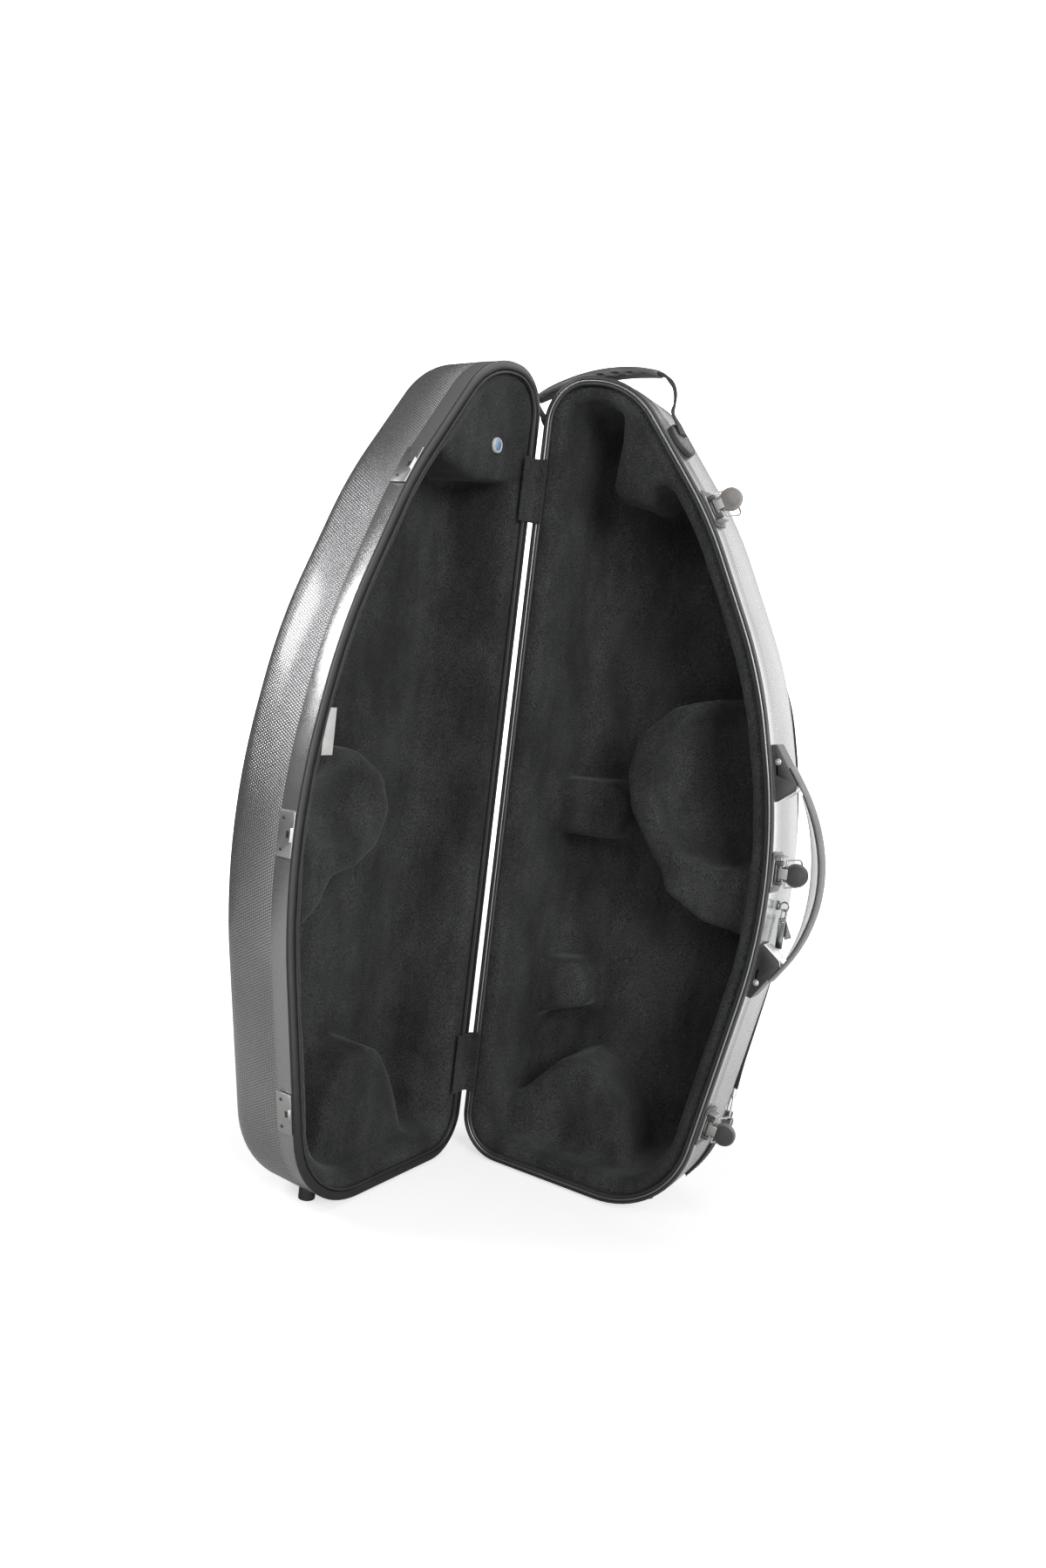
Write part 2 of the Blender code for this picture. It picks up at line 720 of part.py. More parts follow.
def add_latch(label, height, parts, base):
    """Latch plate on the base wall, its lever, and the wire bail that hangs round the lever's tab."""
    frame = station(height)
    half = PLATE_LENGTH / 2
    face = GAP + PLATE_THICKNESS
    low_edge, high_edge = PLATE_FROM, PLATE_TO
    corner = PLATE_CORNER
    shape = [
        (low_edge, -half), (high_edge - corner, -half), (high_edge, -half + corner),
        (high_edge, half - corner), (high_edge - corner, half), (low_edge, half),
    ]
    plate = loft("latch_plate_" + label, [[(x, y, z) for y, z in shape] for x in (GAP, face)], parts)
    front, back = LATCH_PIN_DEPTH - EAR_HALF_DEPTH, LATCH_PIN_DEPTH + EAR_HALF_DEPTH
    for side in (-1, 1):
        low, high = sorted((side * EAR_FROM, side * EAR_TO))
        ear = block("ear", (GAP + PLATE_THICKNESS / 2, front, low), (EAR_HEIGHT, back, high), parts)
        centre = Vector((LATCH_PIN_HEIGHT, LATCH_PIN_DEPTH, (low + high) / 2))
        reach = Vector((0, 0, EAR_TO))
        bore = cylinder(
            "bore", centre - reach, centre + reach, LATCH_PIN_RADIUS + LATCH_PIN_CLEARANCE, parts, 16
        )
        combine(ear, bore, "DIFFERENCE")
        combine(plate, ear, "UNION")
    plate.matrix_local = frame
    finish(plate, "dark_metal", base)

    pivot = bpy.data.objects.new("latch_pivot_" + label, None)
    parts.objects.link(pivot)
    pivot.parent = base
    turn = Matrix.Rotation(LEVER_LEAN, 4, "Z")
    pivot.matrix_local = frame @ Matrix.Translation((LATCH_PIN_HEIGHT, LATCH_PIN_DEPTH, 0)) @ turn
    lever = cylinder(
        "latch_lever_" + label, (0, 0, -BARREL_HALF), (0, 0, BARREL_HALF), BARREL_RADIUS, parts, 16
    )
    ends = (0, 0, -LATCH_PIN_HALF), (0, 0, LATCH_PIN_HALF)
    combine(lever, cylinder("pin", *ends, LATCH_PIN_RADIUS, parts, 16), "UNION")
    arm = block(
        "arm", (0, -ARM_THICKNESS / 2, -ARM_HALF), (TAB_REACH, ARM_THICKNESS / 2, ARM_HALF), parts
    )
    combine(lever, arm, "UNION")
    ends = (TAB_REACH, -TAB_THICKNESS / 2, 0), (TAB_REACH, TAB_THICKNESS / 2, 0)
    combine(lever, cylinder("tab", *ends, TAB_RADIUS, parts, 28), "UNION")
    ends = (BAIL_PIN_REACH, 0, -BARREL_HALF), (BAIL_PIN_REACH, 0, BARREL_HALF)
    combine(lever, cylinder("eye", *ends, BAIL_EYE_RADIUS, parts, 14), "UNION")
    ends = (BAIL_PIN_REACH, 0, -BAIL_HALF), (BAIL_PIN_REACH, 0, BAIL_HALF)
    combine(lever, cylinder("bore", *ends, BAIL_WIRE + BAIL_EYE_CLEARANCE, parts, 12), "DIFFERENCE")
    finish(lever, "dark_metal", pivot)

    hang = bpy.data.objects.new("bail_pivot_" + label, None)
    parts.objects.link(hang)
    hang.parent = pivot
    swing = Matrix.Rotation(BAIL_LEAN - LEVER_LEAN, 4, "Z")
    hang.matrix_local = Matrix.Translation((BAIL_PIN_REACH, 0, 0)) @ swing
    side = [(0, 0, BAIL_PIN_FROM), (0, 0, BAIL_HALF - BAIL_SHOULDER), (BAIL_SHOULDER, 0, BAIL_HALF)]
    steps = 4
    for k in range(steps + 1):
        angle = math.pi / 2 * k / steps
        x = BAIL_REACH - BAIL_CORNER + BAIL_CORNER * math.sin(angle)
        side.append((x, 0, BAIL_HALF - BAIL_CORNER + BAIL_CORNER * math.cos(angle)))
    points = side + [(x, y, -z) for x, y, z in side[::-1]]
    bail = wire("latch_bail_" + label, points, BAIL_WIRE, parts)
    finish(bail, "steel", hang)


def add_catch(label, height, parts, lid):
    """Catch plate on the lid's wall with a low lip that the bail pulls on."""
    half = CATCH_LENGTH / 2
    face = GAP + CATCH_THICKNESS
    made = block("catch_plate_" + label, (GAP, -CATCH_TO, -half), (face, -CATCH_FROM, half), parts)
    lip = block(
        "lip",
        (GAP + CATCH_THICKNESS / 2, -CATCH_LIP_TO, -CATCH_LIP_HALF),
        (CATCH_LIP_HEIGHT, -CATCH_LIP_FROM, CATCH_LIP_HALF),
        parts,
    )
    combine(made, lip, "UNION")
    made.matrix_local = station(height)
    finish(made, "steel", lid)


def bracket_shape():
    """Side outline of a bracket, (height, distance from its near end), anticlockwise."""
    return [
        (-BRACKET_ROOT, 0), (0, 0), BRACKET_CORNER, BRACKET_NOSE,
        (BRACKET_TIP, BRACKET_LENGTH), (-BRACKET_ROOT, BRACKET_LENGTH),
    ]


def bracket_frame(near, direction):
    """Frame at a bracket's near end: X outwards, Z away from the grip (direction 1) or towards it (-1)."""
    middle = near + direction * BRACKET_LENGTH / 2
    return station(middle) @ Matrix.Translation((0, 0, -direction * BRACKET_LENGTH / 2))


def add_bracket(label, near, direction, parts, base):
    """Folded sheet bracket, open towards the wall, with one rivet and a short slot in its side."""
    frame = bracket_frame(near, direction)
    shape = [(x, direction * z) for x, z in bracket_shape()]
    hollow = [(v.x, direction * v.y) for v in inset_polygon(bracket_shape(), BRACKET_WALL)]
    hollow[0] = (hollow[0][0] - 2 * BRACKET_WALL, hollow[0][1])
    hollow[-1] = (hollow[-1][0] - 2 * BRACKET_WALL, hollow[-1][1])
    low, high = BRACKET_FROM, BRACKET_FROM + BRACKET_WIDTH
    made = prism("handle_bracket_" + label, shape, low, high, parts)
    combine(made, prism("hollow", hollow, low + BRACKET_WALL, high - BRACKET_WALL, parts), "DIFFERENCE")
    rivet = direction * (BRACKET_LENGTH - RIVET_FROM_TIP)
    slot_end = rivet - direction * (RIVET_RADIUS + 0.001)
    slot_start = slot_end - direction * BRACKET_SLOT_LENGTH
    half = BRACKET_SLOT_WIDTH / 2
    slot = block(
        "slot", (BRACKET_SLOT_HEIGHT - half, low - 0.001, min(slot_start, slot_end)),
        (BRACKET_SLOT_HEIGHT + half, low + BRACKET_WALL + 0.001, max(slot_start, slot_end)), parts,
    )
    combine(made, slot, "DIFFERENCE")
    made.data.transform(frame)
    combine(made, envelope("base", -GAP, -0.01, parts), "DIFFERENCE")
    finish(made, "dark_metal", base)
    spot = frame @ Vector((RIVET_HEIGHT, low - GAP, rivet))
    crown = spot - Vector((0, RIVET_HEAD, 0))
    head = cylinder("handle_rivet_" + label, spot, crown, RIVET_RADIUS, parts, 18, RIVET_RADIUS * 0.7)
    finish(head, "steel", base)


def strip_line(near, direction):
    """Upper edge line of the strip on a bracket: its end, the apex, and the direction it leaves in."""
    frame = bracket_frame(near, direction)
    apex = frame @ Vector((BRACKET_NOSE[0], 0, direction * BRACKET_NOSE[1]))
    tip = frame @ Vector((BRACKET_TIP, 0, direction * BRACKET_LENGTH))
    along = (apex - tip).normalized()
    outward = Vector((along.z, 0, -along.x)) * -direction
    lifted = apex + outward * GAP
    return lifted - along * HANDLE_LAP, lifted, along, outward


def add_side_handle(parts, base):
    """Crescent handle whose thin ends lie on the sloping faces of its two brackets."""
    end, top, leave, rise = strip_line(HANDLE_TOP, 1)
    end_low, bottom, arrive, rise_low = strip_line(HANDLE_BOTTOM, -1)
    first = top + rise * HANDLE_END_THICKNESS
    last = bottom + rise_low * HANDLE_END_THICKNESS
    control = (first, first + leave * HANDLE_BULGE, last + arrive * HANDLE_BULGE, last)
    outer = [end + rise * HANDLE_END_THICKNESS]
    inner = [end]
    steps = 14
    for k in range(steps + 1):
        t = k / steps
        weights = ((1 - t) ** 3, 3 * t * (1 - t) ** 2, 3 * t * t * (1 - t), t ** 3)
        point = sum((c * w for c, w in zip(control, weights)), Vector())
        slopes = (-(1 - t) ** 2, (1 - t) * (1 - 3 * t), t * (2 - 3 * t), t * t)
        ahead = sum((c * w for c, w in zip(control, slopes)), Vector()).normalized()
        inward = Vector((ahead.z, 0, -ahead.x))
        thickness = HANDLE_END_THICKNESS
        thickness += (HANDLE_MIDDLE_THICKNESS - HANDLE_END_THICKNESS) * math.sin(math.pi * t)
        outer.append(point)
        inner.append(point + inward * thickness)
    outer.append(end_low + rise_low * HANDLE_END_THICKNESS)
    inner.append(end_low)
    shape = [(p.x, p.z) for p in outer + inner[::-1]]
    pivot = bpy.data.objects.new("side_handle_pivot", None)
    parts.objects.link(pivot)
    pivot.parent = base
    pivot.location = (top + bottom) / 2
    handle = prism("side_handle", shape, HANDLE_FROM, HANDLE_FROM + HANDLE_WIDTH, parts)
    handle.data.transform(Matrix.Translation(-pivot.location))
    finish(handle, "handle", pivot)
    add_bracket("upper", HANDLE_TOP, 1, parts, base)
    add_bracket("lower", HANDLE_BOTTOM, -1, parts, base)


def grip_line(count):
    """Middle line of the top handle's grip from the hinge side, with the thickness at each point."""
    points = []
    thick = []
    for k in range(count + 1):
        t = k / count
        x = GRIP_FROM + (GRIP_TO - GRIP_FROM) * t
        thickness = GRIP_END_THICKNESS + (GRIP_THICKNESS - GRIP_END_THICKNESS) * math.sin(math.pi * t)
        top = CASE_LENGTH + GRIP_PEAK_RISE - GRIP_BOW * (x - GRIP_PEAK_X) ** 2
        points.append(Vector((x, GRIP_DEPTH, top - thickness / 2)))
        thick.append(thickness)
    return points, thick


def add_top_handle(parts, base):
    """Moulded grip on a webbing loop, between two round anchors on the end of the base."""
    faces = {}
    seats = (("hinge_side", ANCHOR_HINGE_SIDE_DROP, False), ("slope_side", ANCHOR_SLOPE_DROP, True))
    for label, drop, outer in seats:
        z = CASE_LENGTH - drop
        x, angle = wall_crossing(z, SHELL_SETBACK, outer)
        outward = Vector((math.cos(angle), 0, math.sin(angle)))
        foot = Vector((x, GRIP_DEPTH, z))
        face = foot + outward * ANCHOR_THICKNESS
        disc = cylinder("grip_anchor_" + label, foot - outward * 0.006, face, ANCHOR_RADIUS, parts, 28)
        combine(disc, envelope("base", -GAP, -0.01, parts), "DIFFERENCE")
        finish(disc, "rubber", base)
        faces[label] = (face, outward)

    start, start_out = faces["hinge_side"]
    stop, stop_out = faces["slope_side"]
    pivot = bpy.data.objects.new("top_handle_pivot", None)
    parts.objects.link(pivot)
    pivot.parent = base
    pivot.location = (start + stop) / 2

    count = 12
    middle, thick = grip_line(count)
    rest = WEBBING_THICKNESS / 2 + GAP
    up = Vector((0, 0, 1))
    first = middle[0]
    left_tail = [start + start_out * rest, start + start_out * rest + up * 0.012]
    left_tail.append(start + start_out * 0.010 + up * 0.024)
    left_tail.append(Vector((first.x + 0.0085, GRIP_DEPTH, first.z - 0.016)))
    left_tail.append(first + (first - middle[1]) * 0.3)
    along = Vector((-stop_out.z, 0, stop_out.x))
    last = middle[-1]
    right_tail = [last + (last - middle[-2]) * 0.3]
    right_tail += [Vector((x, GRIP_DEPTH, CASE_LENGTH + rise)) for x, rise in WEBBING_RIGHT_LOOP]
    right_tail.append(stop + stop_out * (rest + 0.0012) + along * 0.0165)
    right_tail.append(stop + stop_out * rest + along * 0.004)
    line = left_tail + middle + right_tail
    normals = []
    for i in range(len(line)):
        ahead = line[min(i + 1, len(line) - 1)] - line[max(i - 1, 0)]
        normals.append(ahead.cross(Vector((0, 1, 0))).normalized())
    widths = [WEBBING_WIDTH] * len(line)
    webbing = band("top_handle_webbing", line, normals, widths, [WEBBING_THICKNESS] * len(line), parts)
    webbing.data.transform(Matrix.Translation(-pivot.location))
    finish(webbing, "webbing", pivot)

    span = normals[len(left_tail):len(left_tail) + count + 1]
    grip = band("top_handle_grip", middle, span, [GRIP_WIDTH] * (count + 1), thick, parts)
    slot_line = [middle[0] * 2 - middle[1], *middle, middle[-1] * 2 - middle[-2]]
    slot_span = [span[0], *span, span[-1]]
    slot = band(
        "slot", slot_line, slot_span, [WEBBING_WIDTH + 2 * GAP] * len(slot_line),
        [WEBBING_THICKNESS + 2 * GAP] * len(slot_line), parts,
    )
    combine(grip, slot, "DIFFERENCE")
    grip.data.transform(Matrix.Translation(-pivot.location))
    finish(grip, "grip", pivot)


def add_feet(half, depth, parts, parent):
    side = HALVES[half][0]
    for label, x in (("inner", FOOT_INNER), ("outer", FOOT_OUTER)):
        ends = (x, side * depth, -FOOT_DROP), (x, side * depth, FOOT_SEAT)
        foot = cylinder(half + "_foot_" + label, *ends, FOOT_RADIUS, parts, 20)
        combine(foot, envelope(half, -GAP, -0.01, parts), "DIFFERENCE")
        finish(foot, "rubber", parent)


def circle_points(centre, first, second, radius, count):
    turns = [2 * math.pi * k / count for k in range(count)]
    return [centre + (first * math.cos(a) + second * math.sin(a)) * radius for a in turns]


def add_key_set(parts, base):
    """Wire eye on the wall, a ring through it and a flat key through the ring."""
    frame = station(KEY_HEIGHT)
    x_axis = (frame.to_3x3() @ Vector((1, 0, 0))).normalized()
    y_axis = Vector((0, 1, 0))
    z_axis = Vector((0, 0, 1))
    wall, _ = wall_crossing(KEY_HEIGHT, SHELL_SETBACK + BASE_DRAFT * (KEY_DEPTH - BAND_WIDTH))
    foot = Vector((wall, KEY_DEPTH, KEY_HEIGHT))
    eye_centre = foot + x_axis * (EYE_RADIUS + 0.0026)
    plate = cylinder("key_eye", foot - x_axis * 0.004, foot + x_axis * 0.0022, 0.0045, parts, 20)
    bend = circle_points(eye_centre, x_axis, z_axis, EYE_RADIUS, 20)
    loop = wire("loop", bend, EYE_WIRE, parts, closed=True)
    combine(plate, loop, "UNION")
    combine(plate, envelope("base", -GAP, -0.01, parts), "DIFFERENCE")
    finish(plate, "steel", base)

    hang = eye_centre - z_axis * EYE_RADIUS
    pivot = bpy.data.objects.new("key_ring_pivot", None)
    parts.objects.link(pivot)
    pivot.parent = base
    pivot.location = hang
    ring_centre = Vector((0, 0, EYE_WIRE + RING_WIRE + GAP - RING_RADIUS))
    bend = circle_points(ring_centre, y_axis, z_axis, RING_RADIUS, 24)
    ring = wire("key_ring", bend, RING_WIRE, parts, closed=True)
    finish(ring, "steel", pivot)
    hole = ring_centre.z - RING_RADIUS
    for name, side, lean, length in (
        ("case_key", -1, 0.0, KEY_LENGTH), ("case_key_spare", 1, KEY_SPREAD, SPARE_KEY_LENGTH)
    ):
        key = block(
            name,
            (-KEY_WIDTH / 2, -KEY_THICKNESS / 2, -length),
            (KEY_WIDTH / 2, KEY_THICKNESS / 2, KEY_EYE_MARGIN),
            parts,
        )
        bore = cylinder("bore", (0, -0.01, 0), (0, 0.01, 0), KEY_EYE_RADIUS, parts, 16)
        combine(key, bore, "DIFFERENCE")
        turn = Matrix.Rotation(lean, 4, "Y")
        key.data.transform(Matrix.Translation((0, side * KEY_OFFSET, hole)) @ turn)
        finish(key, "steel", pivot)


def add_shoulder_strap(side_label, parts, base):
    """Padded shoulder strap down the back, its lower webbing turned round the edge to a snap hook."""
    back = BASE_DEPTH + GAP
    rows = []
    if side_label == "outer":
        edge_rows = [
            (LUG_HEIGHT + 0.036, 34), (0.150, 36), (0.190, 39), (0.240, 43), (0.300, 46), (0.360, 47),
            (0.420, 45), (0.470, 42), (0.515, 45), (0.550, 60),
        ]
        for z, degrees in edge_rows:
            lift = STRAP_THICKNESS / 2 + BOW_ALLOWANCE
            if not rows:
                lift = HOOK_BARREL + BOW_ALLOWANCE
            point, normal = surface_point(z, math.radians(degrees), lift)
            rows.append((point, normal, STRAP_WIDTH * 0.55, STRAP_THICKNESS))
        panel = [(0.168, 0.600), (0.135, 0.645), (0.105, 0.690), (0.088, 0.725)]
        for k, (x, z) in enumerate(panel):
            thickness = STRAP_THICKNESS + (PAD_THICKNESS - STRAP_THICKNESS) * min(1, k / 2)
            rows.append((Vector((x, back + thickness / 2, z)), Vector((0, 1, 0)), STRAP_WIDTH, thickness))
    else:
        panel = [
            (0.062, 0.130, 0), (0.060, 0.200, 0), (0.058, 0.260, 0), (0.056, 0.300, 1), (0.054, 0.400, 1),
            (0.053, 0.500, 1), (0.052, 0.600, 1), (0.054, 0.660, 1), (0.058, 0.700, 0), (0.060, 0.725, 0),
        ]
        for x, z, padded in panel:
            thickness = PAD_THICKNESS if padded else STRAP_THICKNESS
            width = PAD_WIDTH * 0.75 if padded else STRAP_WIDTH
            lift = thickness / 2 if rows else HOOK_BARREL
            rows.append((Vector((x, back + lift, z)), Vector((0, 1, 0)), width, thickness))
    points, normals, widths, thicknesses = (list(column) for column in zip(*rows))
    strap = band("shoulder_strap_" + side_label, points, normals, widths, thicknesses, parts)
    if side_label == "outer":
        combine(strap, envelope("base", -GAP, -0.01, parts), "DIFFERENCE")
    finish(strap, "webbing", base)
    return points[0], normals[0], (points[0] - points[1]).normalized()


def add_strap_end(side_label, top, normal, down, parts, base):
    """Lug on the shell and the snap hook that joins the strap to it."""
    across = down.cross(normal).normalized()
    normal = across.cross(down).normalized()
    ring_top = top + down * 0.010
    ring_centre = ring_top + down * HOOK_LENGTH / 2
    half_straight = (HOOK_LENGTH - HOOK_WIDTH) / 2
    points = []
    for k in range(16):
        angle = 2 * math.pi * k / 16
        shift = half_straight if math.cos(angle) > 0 else -half_straight
        point = ring_centre + down * (math.cos(angle) * HOOK_WIDTH / 2 + shift)
        points.append(point + across * math.sin(angle) * HOOK_WIDTH / 2)
    hook = wire("snap_hook_" + side_label, points, HOOK_WIRE, parts, closed=True)
    barrel = cylinder("barrel", top + down * (GAP * 2), ring_top + down * 0.001, HOOK_BARREL, parts, 14)
    combine(hook, barrel, "UNION")
    finish(hook, "steel", base)

    hole = ring_centre + down * HOOK_LENGTH / 2
    frame = Matrix.Identity(4)
    for column, axis in enumerate((normal, across, down)):
        for row in range(3):
            frame[row][column] = axis[row]
    frame.translation = hole
    bore = HOOK_WIRE + LUG_CLEARANCE
    half_length = bore + LUG_LEG
    lug = block(
        "strap_lug_" + side_label,
        (-LUG_ROOT, -LUG_THICKNESS / 2, -half_length),
        (bore + LUG_BRIDGE, LUG_THICKNESS / 2, half_length),
        parts,
    )
    drill = cylinder("drill", (0, -0.01, 0), (0, 0.01, 0), bore, parts, 16)
    combine(lug, drill, "DIFFERENCE")
    lug.data.transform(frame)
    combine(lug, envelope("base", -GAP, -0.01, parts), "DIFFERENCE")
    finish(lug, "dark_metal", base)


def add_strap_tail(parts, base):
    """Free end of the strap webbing, lying down the lower corner of the wall."""
    rows = []
    for z, depth in ((0.078, 0.070), (0.062, 0.066), (0.048, 0.060), (0.036, 0.053)):
        inset = SHELL_SETBACK + BASE_DRAFT * (depth - BAND_WIDTH)
        x, angle = wall_crossing(z, inset)
        outward = Vector((math.cos(angle), 0, math.sin(angle)))
        rows.append((Vector((x, depth, z)) + outward * (STRAP_THICKNESS / 2 + GAP), outward))
    points = [row[0] for row in rows]
    normals = [row[1] for row in rows]
    widths = [STRAP_WIDTH * 0.6] * len(rows)
    tail = band("strap_tail", points, normals, widths, [STRAP_THICKNESS] * len(rows), parts)
    combine(tail, envelope("base", -GAP, -0.01, parts), "DIFFERENCE")
    finish(tail, "webbing", base)


def add_button(parts, lid):
    top = LID_BLOCKS["lid_neck_block"][1]
    centre = Vector((0.061, -top + GAP, CASE_LENGTH - BUTTON_DROP))
    crown = centre + Vector((0, BUTTON_HEIGHT, 0))
    made = cylinder("lid_button", centre, crown, BUTTON_RADIUS, parts, 24, BUTTON_RADIUS * 0.8)
    finish(made, "button", lid)


def stand_on_origin(root, parts):
    """Move the case so that the middle of its footprint box is the origin and its feet are at zero."""
    bpy.context.view_layer.update()
    graph = bpy.context.evaluated_depsgraph_get()
    low = Vector((1e9, 1e9, 1e9))
    high = -low
    for item in parts.objects:
        if item.type != "MESH":
            continue
        shape = item.evaluated_get(graph)
        for vertex in shape.data.vertices:
            point = shape.matrix_world @ vertex.co
            low = Vector(map(min, low, point))
            high = Vector(map(max, high, point))
    root.location = (-(low.x + high.x) / 2, -(low.y + high.y) / 2, -low.z)


def main():
    clear_scene()
    parts = new_collection("saxophone_case")
    root = bpy.data.objects.new("case_frame", None)
    lid = bpy.data.objects.new("lid_pivot", None)
    for item in (root, lid):
        parts.objects.link(item)
    lid.parent = root
    for half, parent in (("base", root), ("lid", lid)):
        add_shell(half, parts, parent)
        add_rim(half, parts, parent)
        add_lining(half, parts, parent)
    add_seal(parts, lid)
    for name, (shape, top, dish) in BASE_BLOCKS.items():
        add_foam_block(name, "base", shape, top, parts, root, dish)
    for name, (shape, top, dish) in LID_BLOCKS.items():
        add_foam_block(name, "lid", shape, top, parts, lid, dish)
    add_button(parts, lid)
    for label, height in zip(("upper", "lower"), HINGE_HEIGHTS):
        add_hinge(label, height, parts, root, lid)
        add_hinge_cover(label, height, parts, root)
    for label, height in zip(LATCH_NAMES, LATCH_HEIGHTS):
        add_latch(label, height, parts, root)
        add_catch(label, height, parts, lid)
    add_side_handle(parts, root)
    add_top_handle(parts, root)
    add_feet("base", BASE_FOOT_DEPTH, parts, root)
    add_feet("lid", LID_FOOT_DEPTH, parts, lid)
    add_key_set(parts, root)
    for side_label in ("outer", "inner"):
        top, normal, down = add_shoulder_strap(side_label, parts, root)
        add_strap_end(side_label, top, normal, down, parts, root)
    add_strap_tail(parts, root)
    lid.rotation_euler = (0, 0, -OPENING)
    stand_on_origin(root, parts)


main()
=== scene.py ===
# Tenor saxophone case: shells, plush, fittings, handles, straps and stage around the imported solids.
import json
import math

import bmesh
import bpy
from bpy.props import FloatProperty, FloatVectorProperty, IntProperty, PointerProperty
from mathutils import Matrix, Vector, noise


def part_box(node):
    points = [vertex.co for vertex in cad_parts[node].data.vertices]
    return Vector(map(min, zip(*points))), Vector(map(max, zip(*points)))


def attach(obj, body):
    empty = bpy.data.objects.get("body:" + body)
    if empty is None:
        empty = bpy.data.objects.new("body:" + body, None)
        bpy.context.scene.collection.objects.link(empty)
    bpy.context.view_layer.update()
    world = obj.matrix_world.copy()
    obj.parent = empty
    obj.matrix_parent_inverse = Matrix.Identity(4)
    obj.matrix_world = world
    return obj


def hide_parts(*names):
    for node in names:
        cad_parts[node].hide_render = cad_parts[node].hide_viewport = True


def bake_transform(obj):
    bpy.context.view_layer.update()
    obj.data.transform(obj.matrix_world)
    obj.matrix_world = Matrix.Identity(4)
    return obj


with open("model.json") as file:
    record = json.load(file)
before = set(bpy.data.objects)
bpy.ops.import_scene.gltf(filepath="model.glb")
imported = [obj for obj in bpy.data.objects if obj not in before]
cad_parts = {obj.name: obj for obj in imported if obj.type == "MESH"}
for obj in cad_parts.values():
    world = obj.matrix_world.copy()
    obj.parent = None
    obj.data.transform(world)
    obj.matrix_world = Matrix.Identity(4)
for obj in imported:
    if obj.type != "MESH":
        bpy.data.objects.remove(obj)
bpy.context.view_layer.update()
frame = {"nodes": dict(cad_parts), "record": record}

bl_info = {
    "name": "Saxophone case",
    "version": (1, 0, 0),
    "blender": (4, 5, 0),
    "location": "3D View > Sidebar > Case",
    "description": "Makes the dressed pieces of a hard contour case for a tenor saxophone",
    "category": "Object",
}

RECORD = frame["record"]
BODY_OF = {node: body for body, nodes in RECORD["behaviour"]["bodies"].items() for node in nodes}
HINGE = next(joint for joint in RECORD["behaviour"]["joints"] if joint["name"] == "lid_hinge")
FOOT_DROP = 0.003
ORIGIN = Vector((HINGE["pos_m"][0], HINGE["pos_m"][1], FOOT_DROP))
LATCHES = ("upper", "middle", "lower")

# Rim outline: x from the hinge axis, z from the floor edge, and the corner's radius
HINGE_EDGE = 0.0022
CASE_LENGTH = 0.810
RIM_CORNERS = (
    (HINGE_EDGE, 0.0, 0.044), (0.249, 0.0, 0.100), (0.317, 0.350, 0.54), (0.271, 0.540, 0.46),
    (0.199, 0.682, 0.40), (0.099, CASE_LENGTH, 0.095), (HINGE_EDGE, CASE_LENGTH, 0.045),
)
SOLID_STEPS = (6, 8, 5, 3, 3, 7, 6)
FINE_STEPS = (12, 16, 15, 9, 9, 14, 12)
LEAST_RADIUS = 0.004

# Shell and rim sections
DEPTH = {"base": 0.120, "lid": 0.095}
EDGE_RADIUS = {"base": 0.055, "lid": 0.035}
DRAFT = {"base": math.tan(math.radians(4)), "lid": math.tan(math.radians(3))}
WALL = 0.003
GAP = 0.0003
BAND_WIDTH = 0.022
SHELL_SETBACK = 0.0005
RIM_FACE = 0.0004
RIM_DEPTH = 0.0028
RIM_WIDTH = 0.0090
LEDGE_DEPTH = 0.0060
LEDGE_WIDTH = 0.015
LINING_SLOPE = 0.012
FLOOR_FOAM = 0.012
FLOOR_COVE = 0.018
EDGE_STEPS = 12

# Latches, catches and hinges
LATCH_HEIGHTS = dict(zip(LATCHES, (0.6875, 0.3615, 0.1070)))
PLATE_FACE = 0.0022
LATCH_PIN_HEIGHT = 0.0056
LATCH_PIN_DEPTH = 0.0095
LEVER_LEAN = math.radians(12)
BAIL_LEAN = math.radians(70)
BAIL_PIN_REACH = 0.0060
TAB_REACH = 0.0154
TAB_RADIUS = 0.0110
TAB_THICKNESS = 0.0036
CATCH_FACE = 0.0018
HINGE_HEIGHTS = {"upper": 0.696, "lower": 0.098}
HINGE_LENGTH = 0.060

# Side handle and brackets
HANDLE_TOP = 0.426
HANDLE_BOTTOM = 0.293
HANDLE_FROM = 0.0090
HANDLE_WIDTH = 0.0130
HANDLE_LAP = 0.017
HANDLE_BULGE = 0.067
STRIP_THICKNESS = 0.0028
HANDLE_THICKNESS = 0.0110
BRACKET_FROM = 0.0082
BRACKET_WIDTH = 0.0178
BRACKET_LENGTH = 0.0525
BRACKET_CORNER = (0.0188, 0.0092)
BRACKET_NOSE = (0.0208, 0.0149)
BRACKET_TIP = 0.0034
RIVET_FROM_TIP = 0.016
RIVET_HEIGHT = 0.0040

# Top handle
GRIP_DEPTH = 0.0260
GRIP_FROM = -0.024
GRIP_TO = 0.113
GRIP_PEAK_X = 0.078
GRIP_PEAK_RISE = 0.0130
GRIP_BOW = 2.65
GRIP_WIDTH = 0.021
GRIP_THICKNESS = 0.0095
GRIP_END_THICKNESS = 0.0060
WEBBING_WIDTH = 0.015
WEBBING_THICKNESS = 0.0022
WEBBING_LOOP = ((0.1220, 0.0025), (0.1290, -0.0040), (0.1324, -0.0130), (0.1328, -0.0220), (0.1322, -0.0300))
ANCHOR_THICKNESS = 0.0048
ANCHOR_DROPS = {"hinge_side": (0.065, False), "slope_side": (0.058, True)}

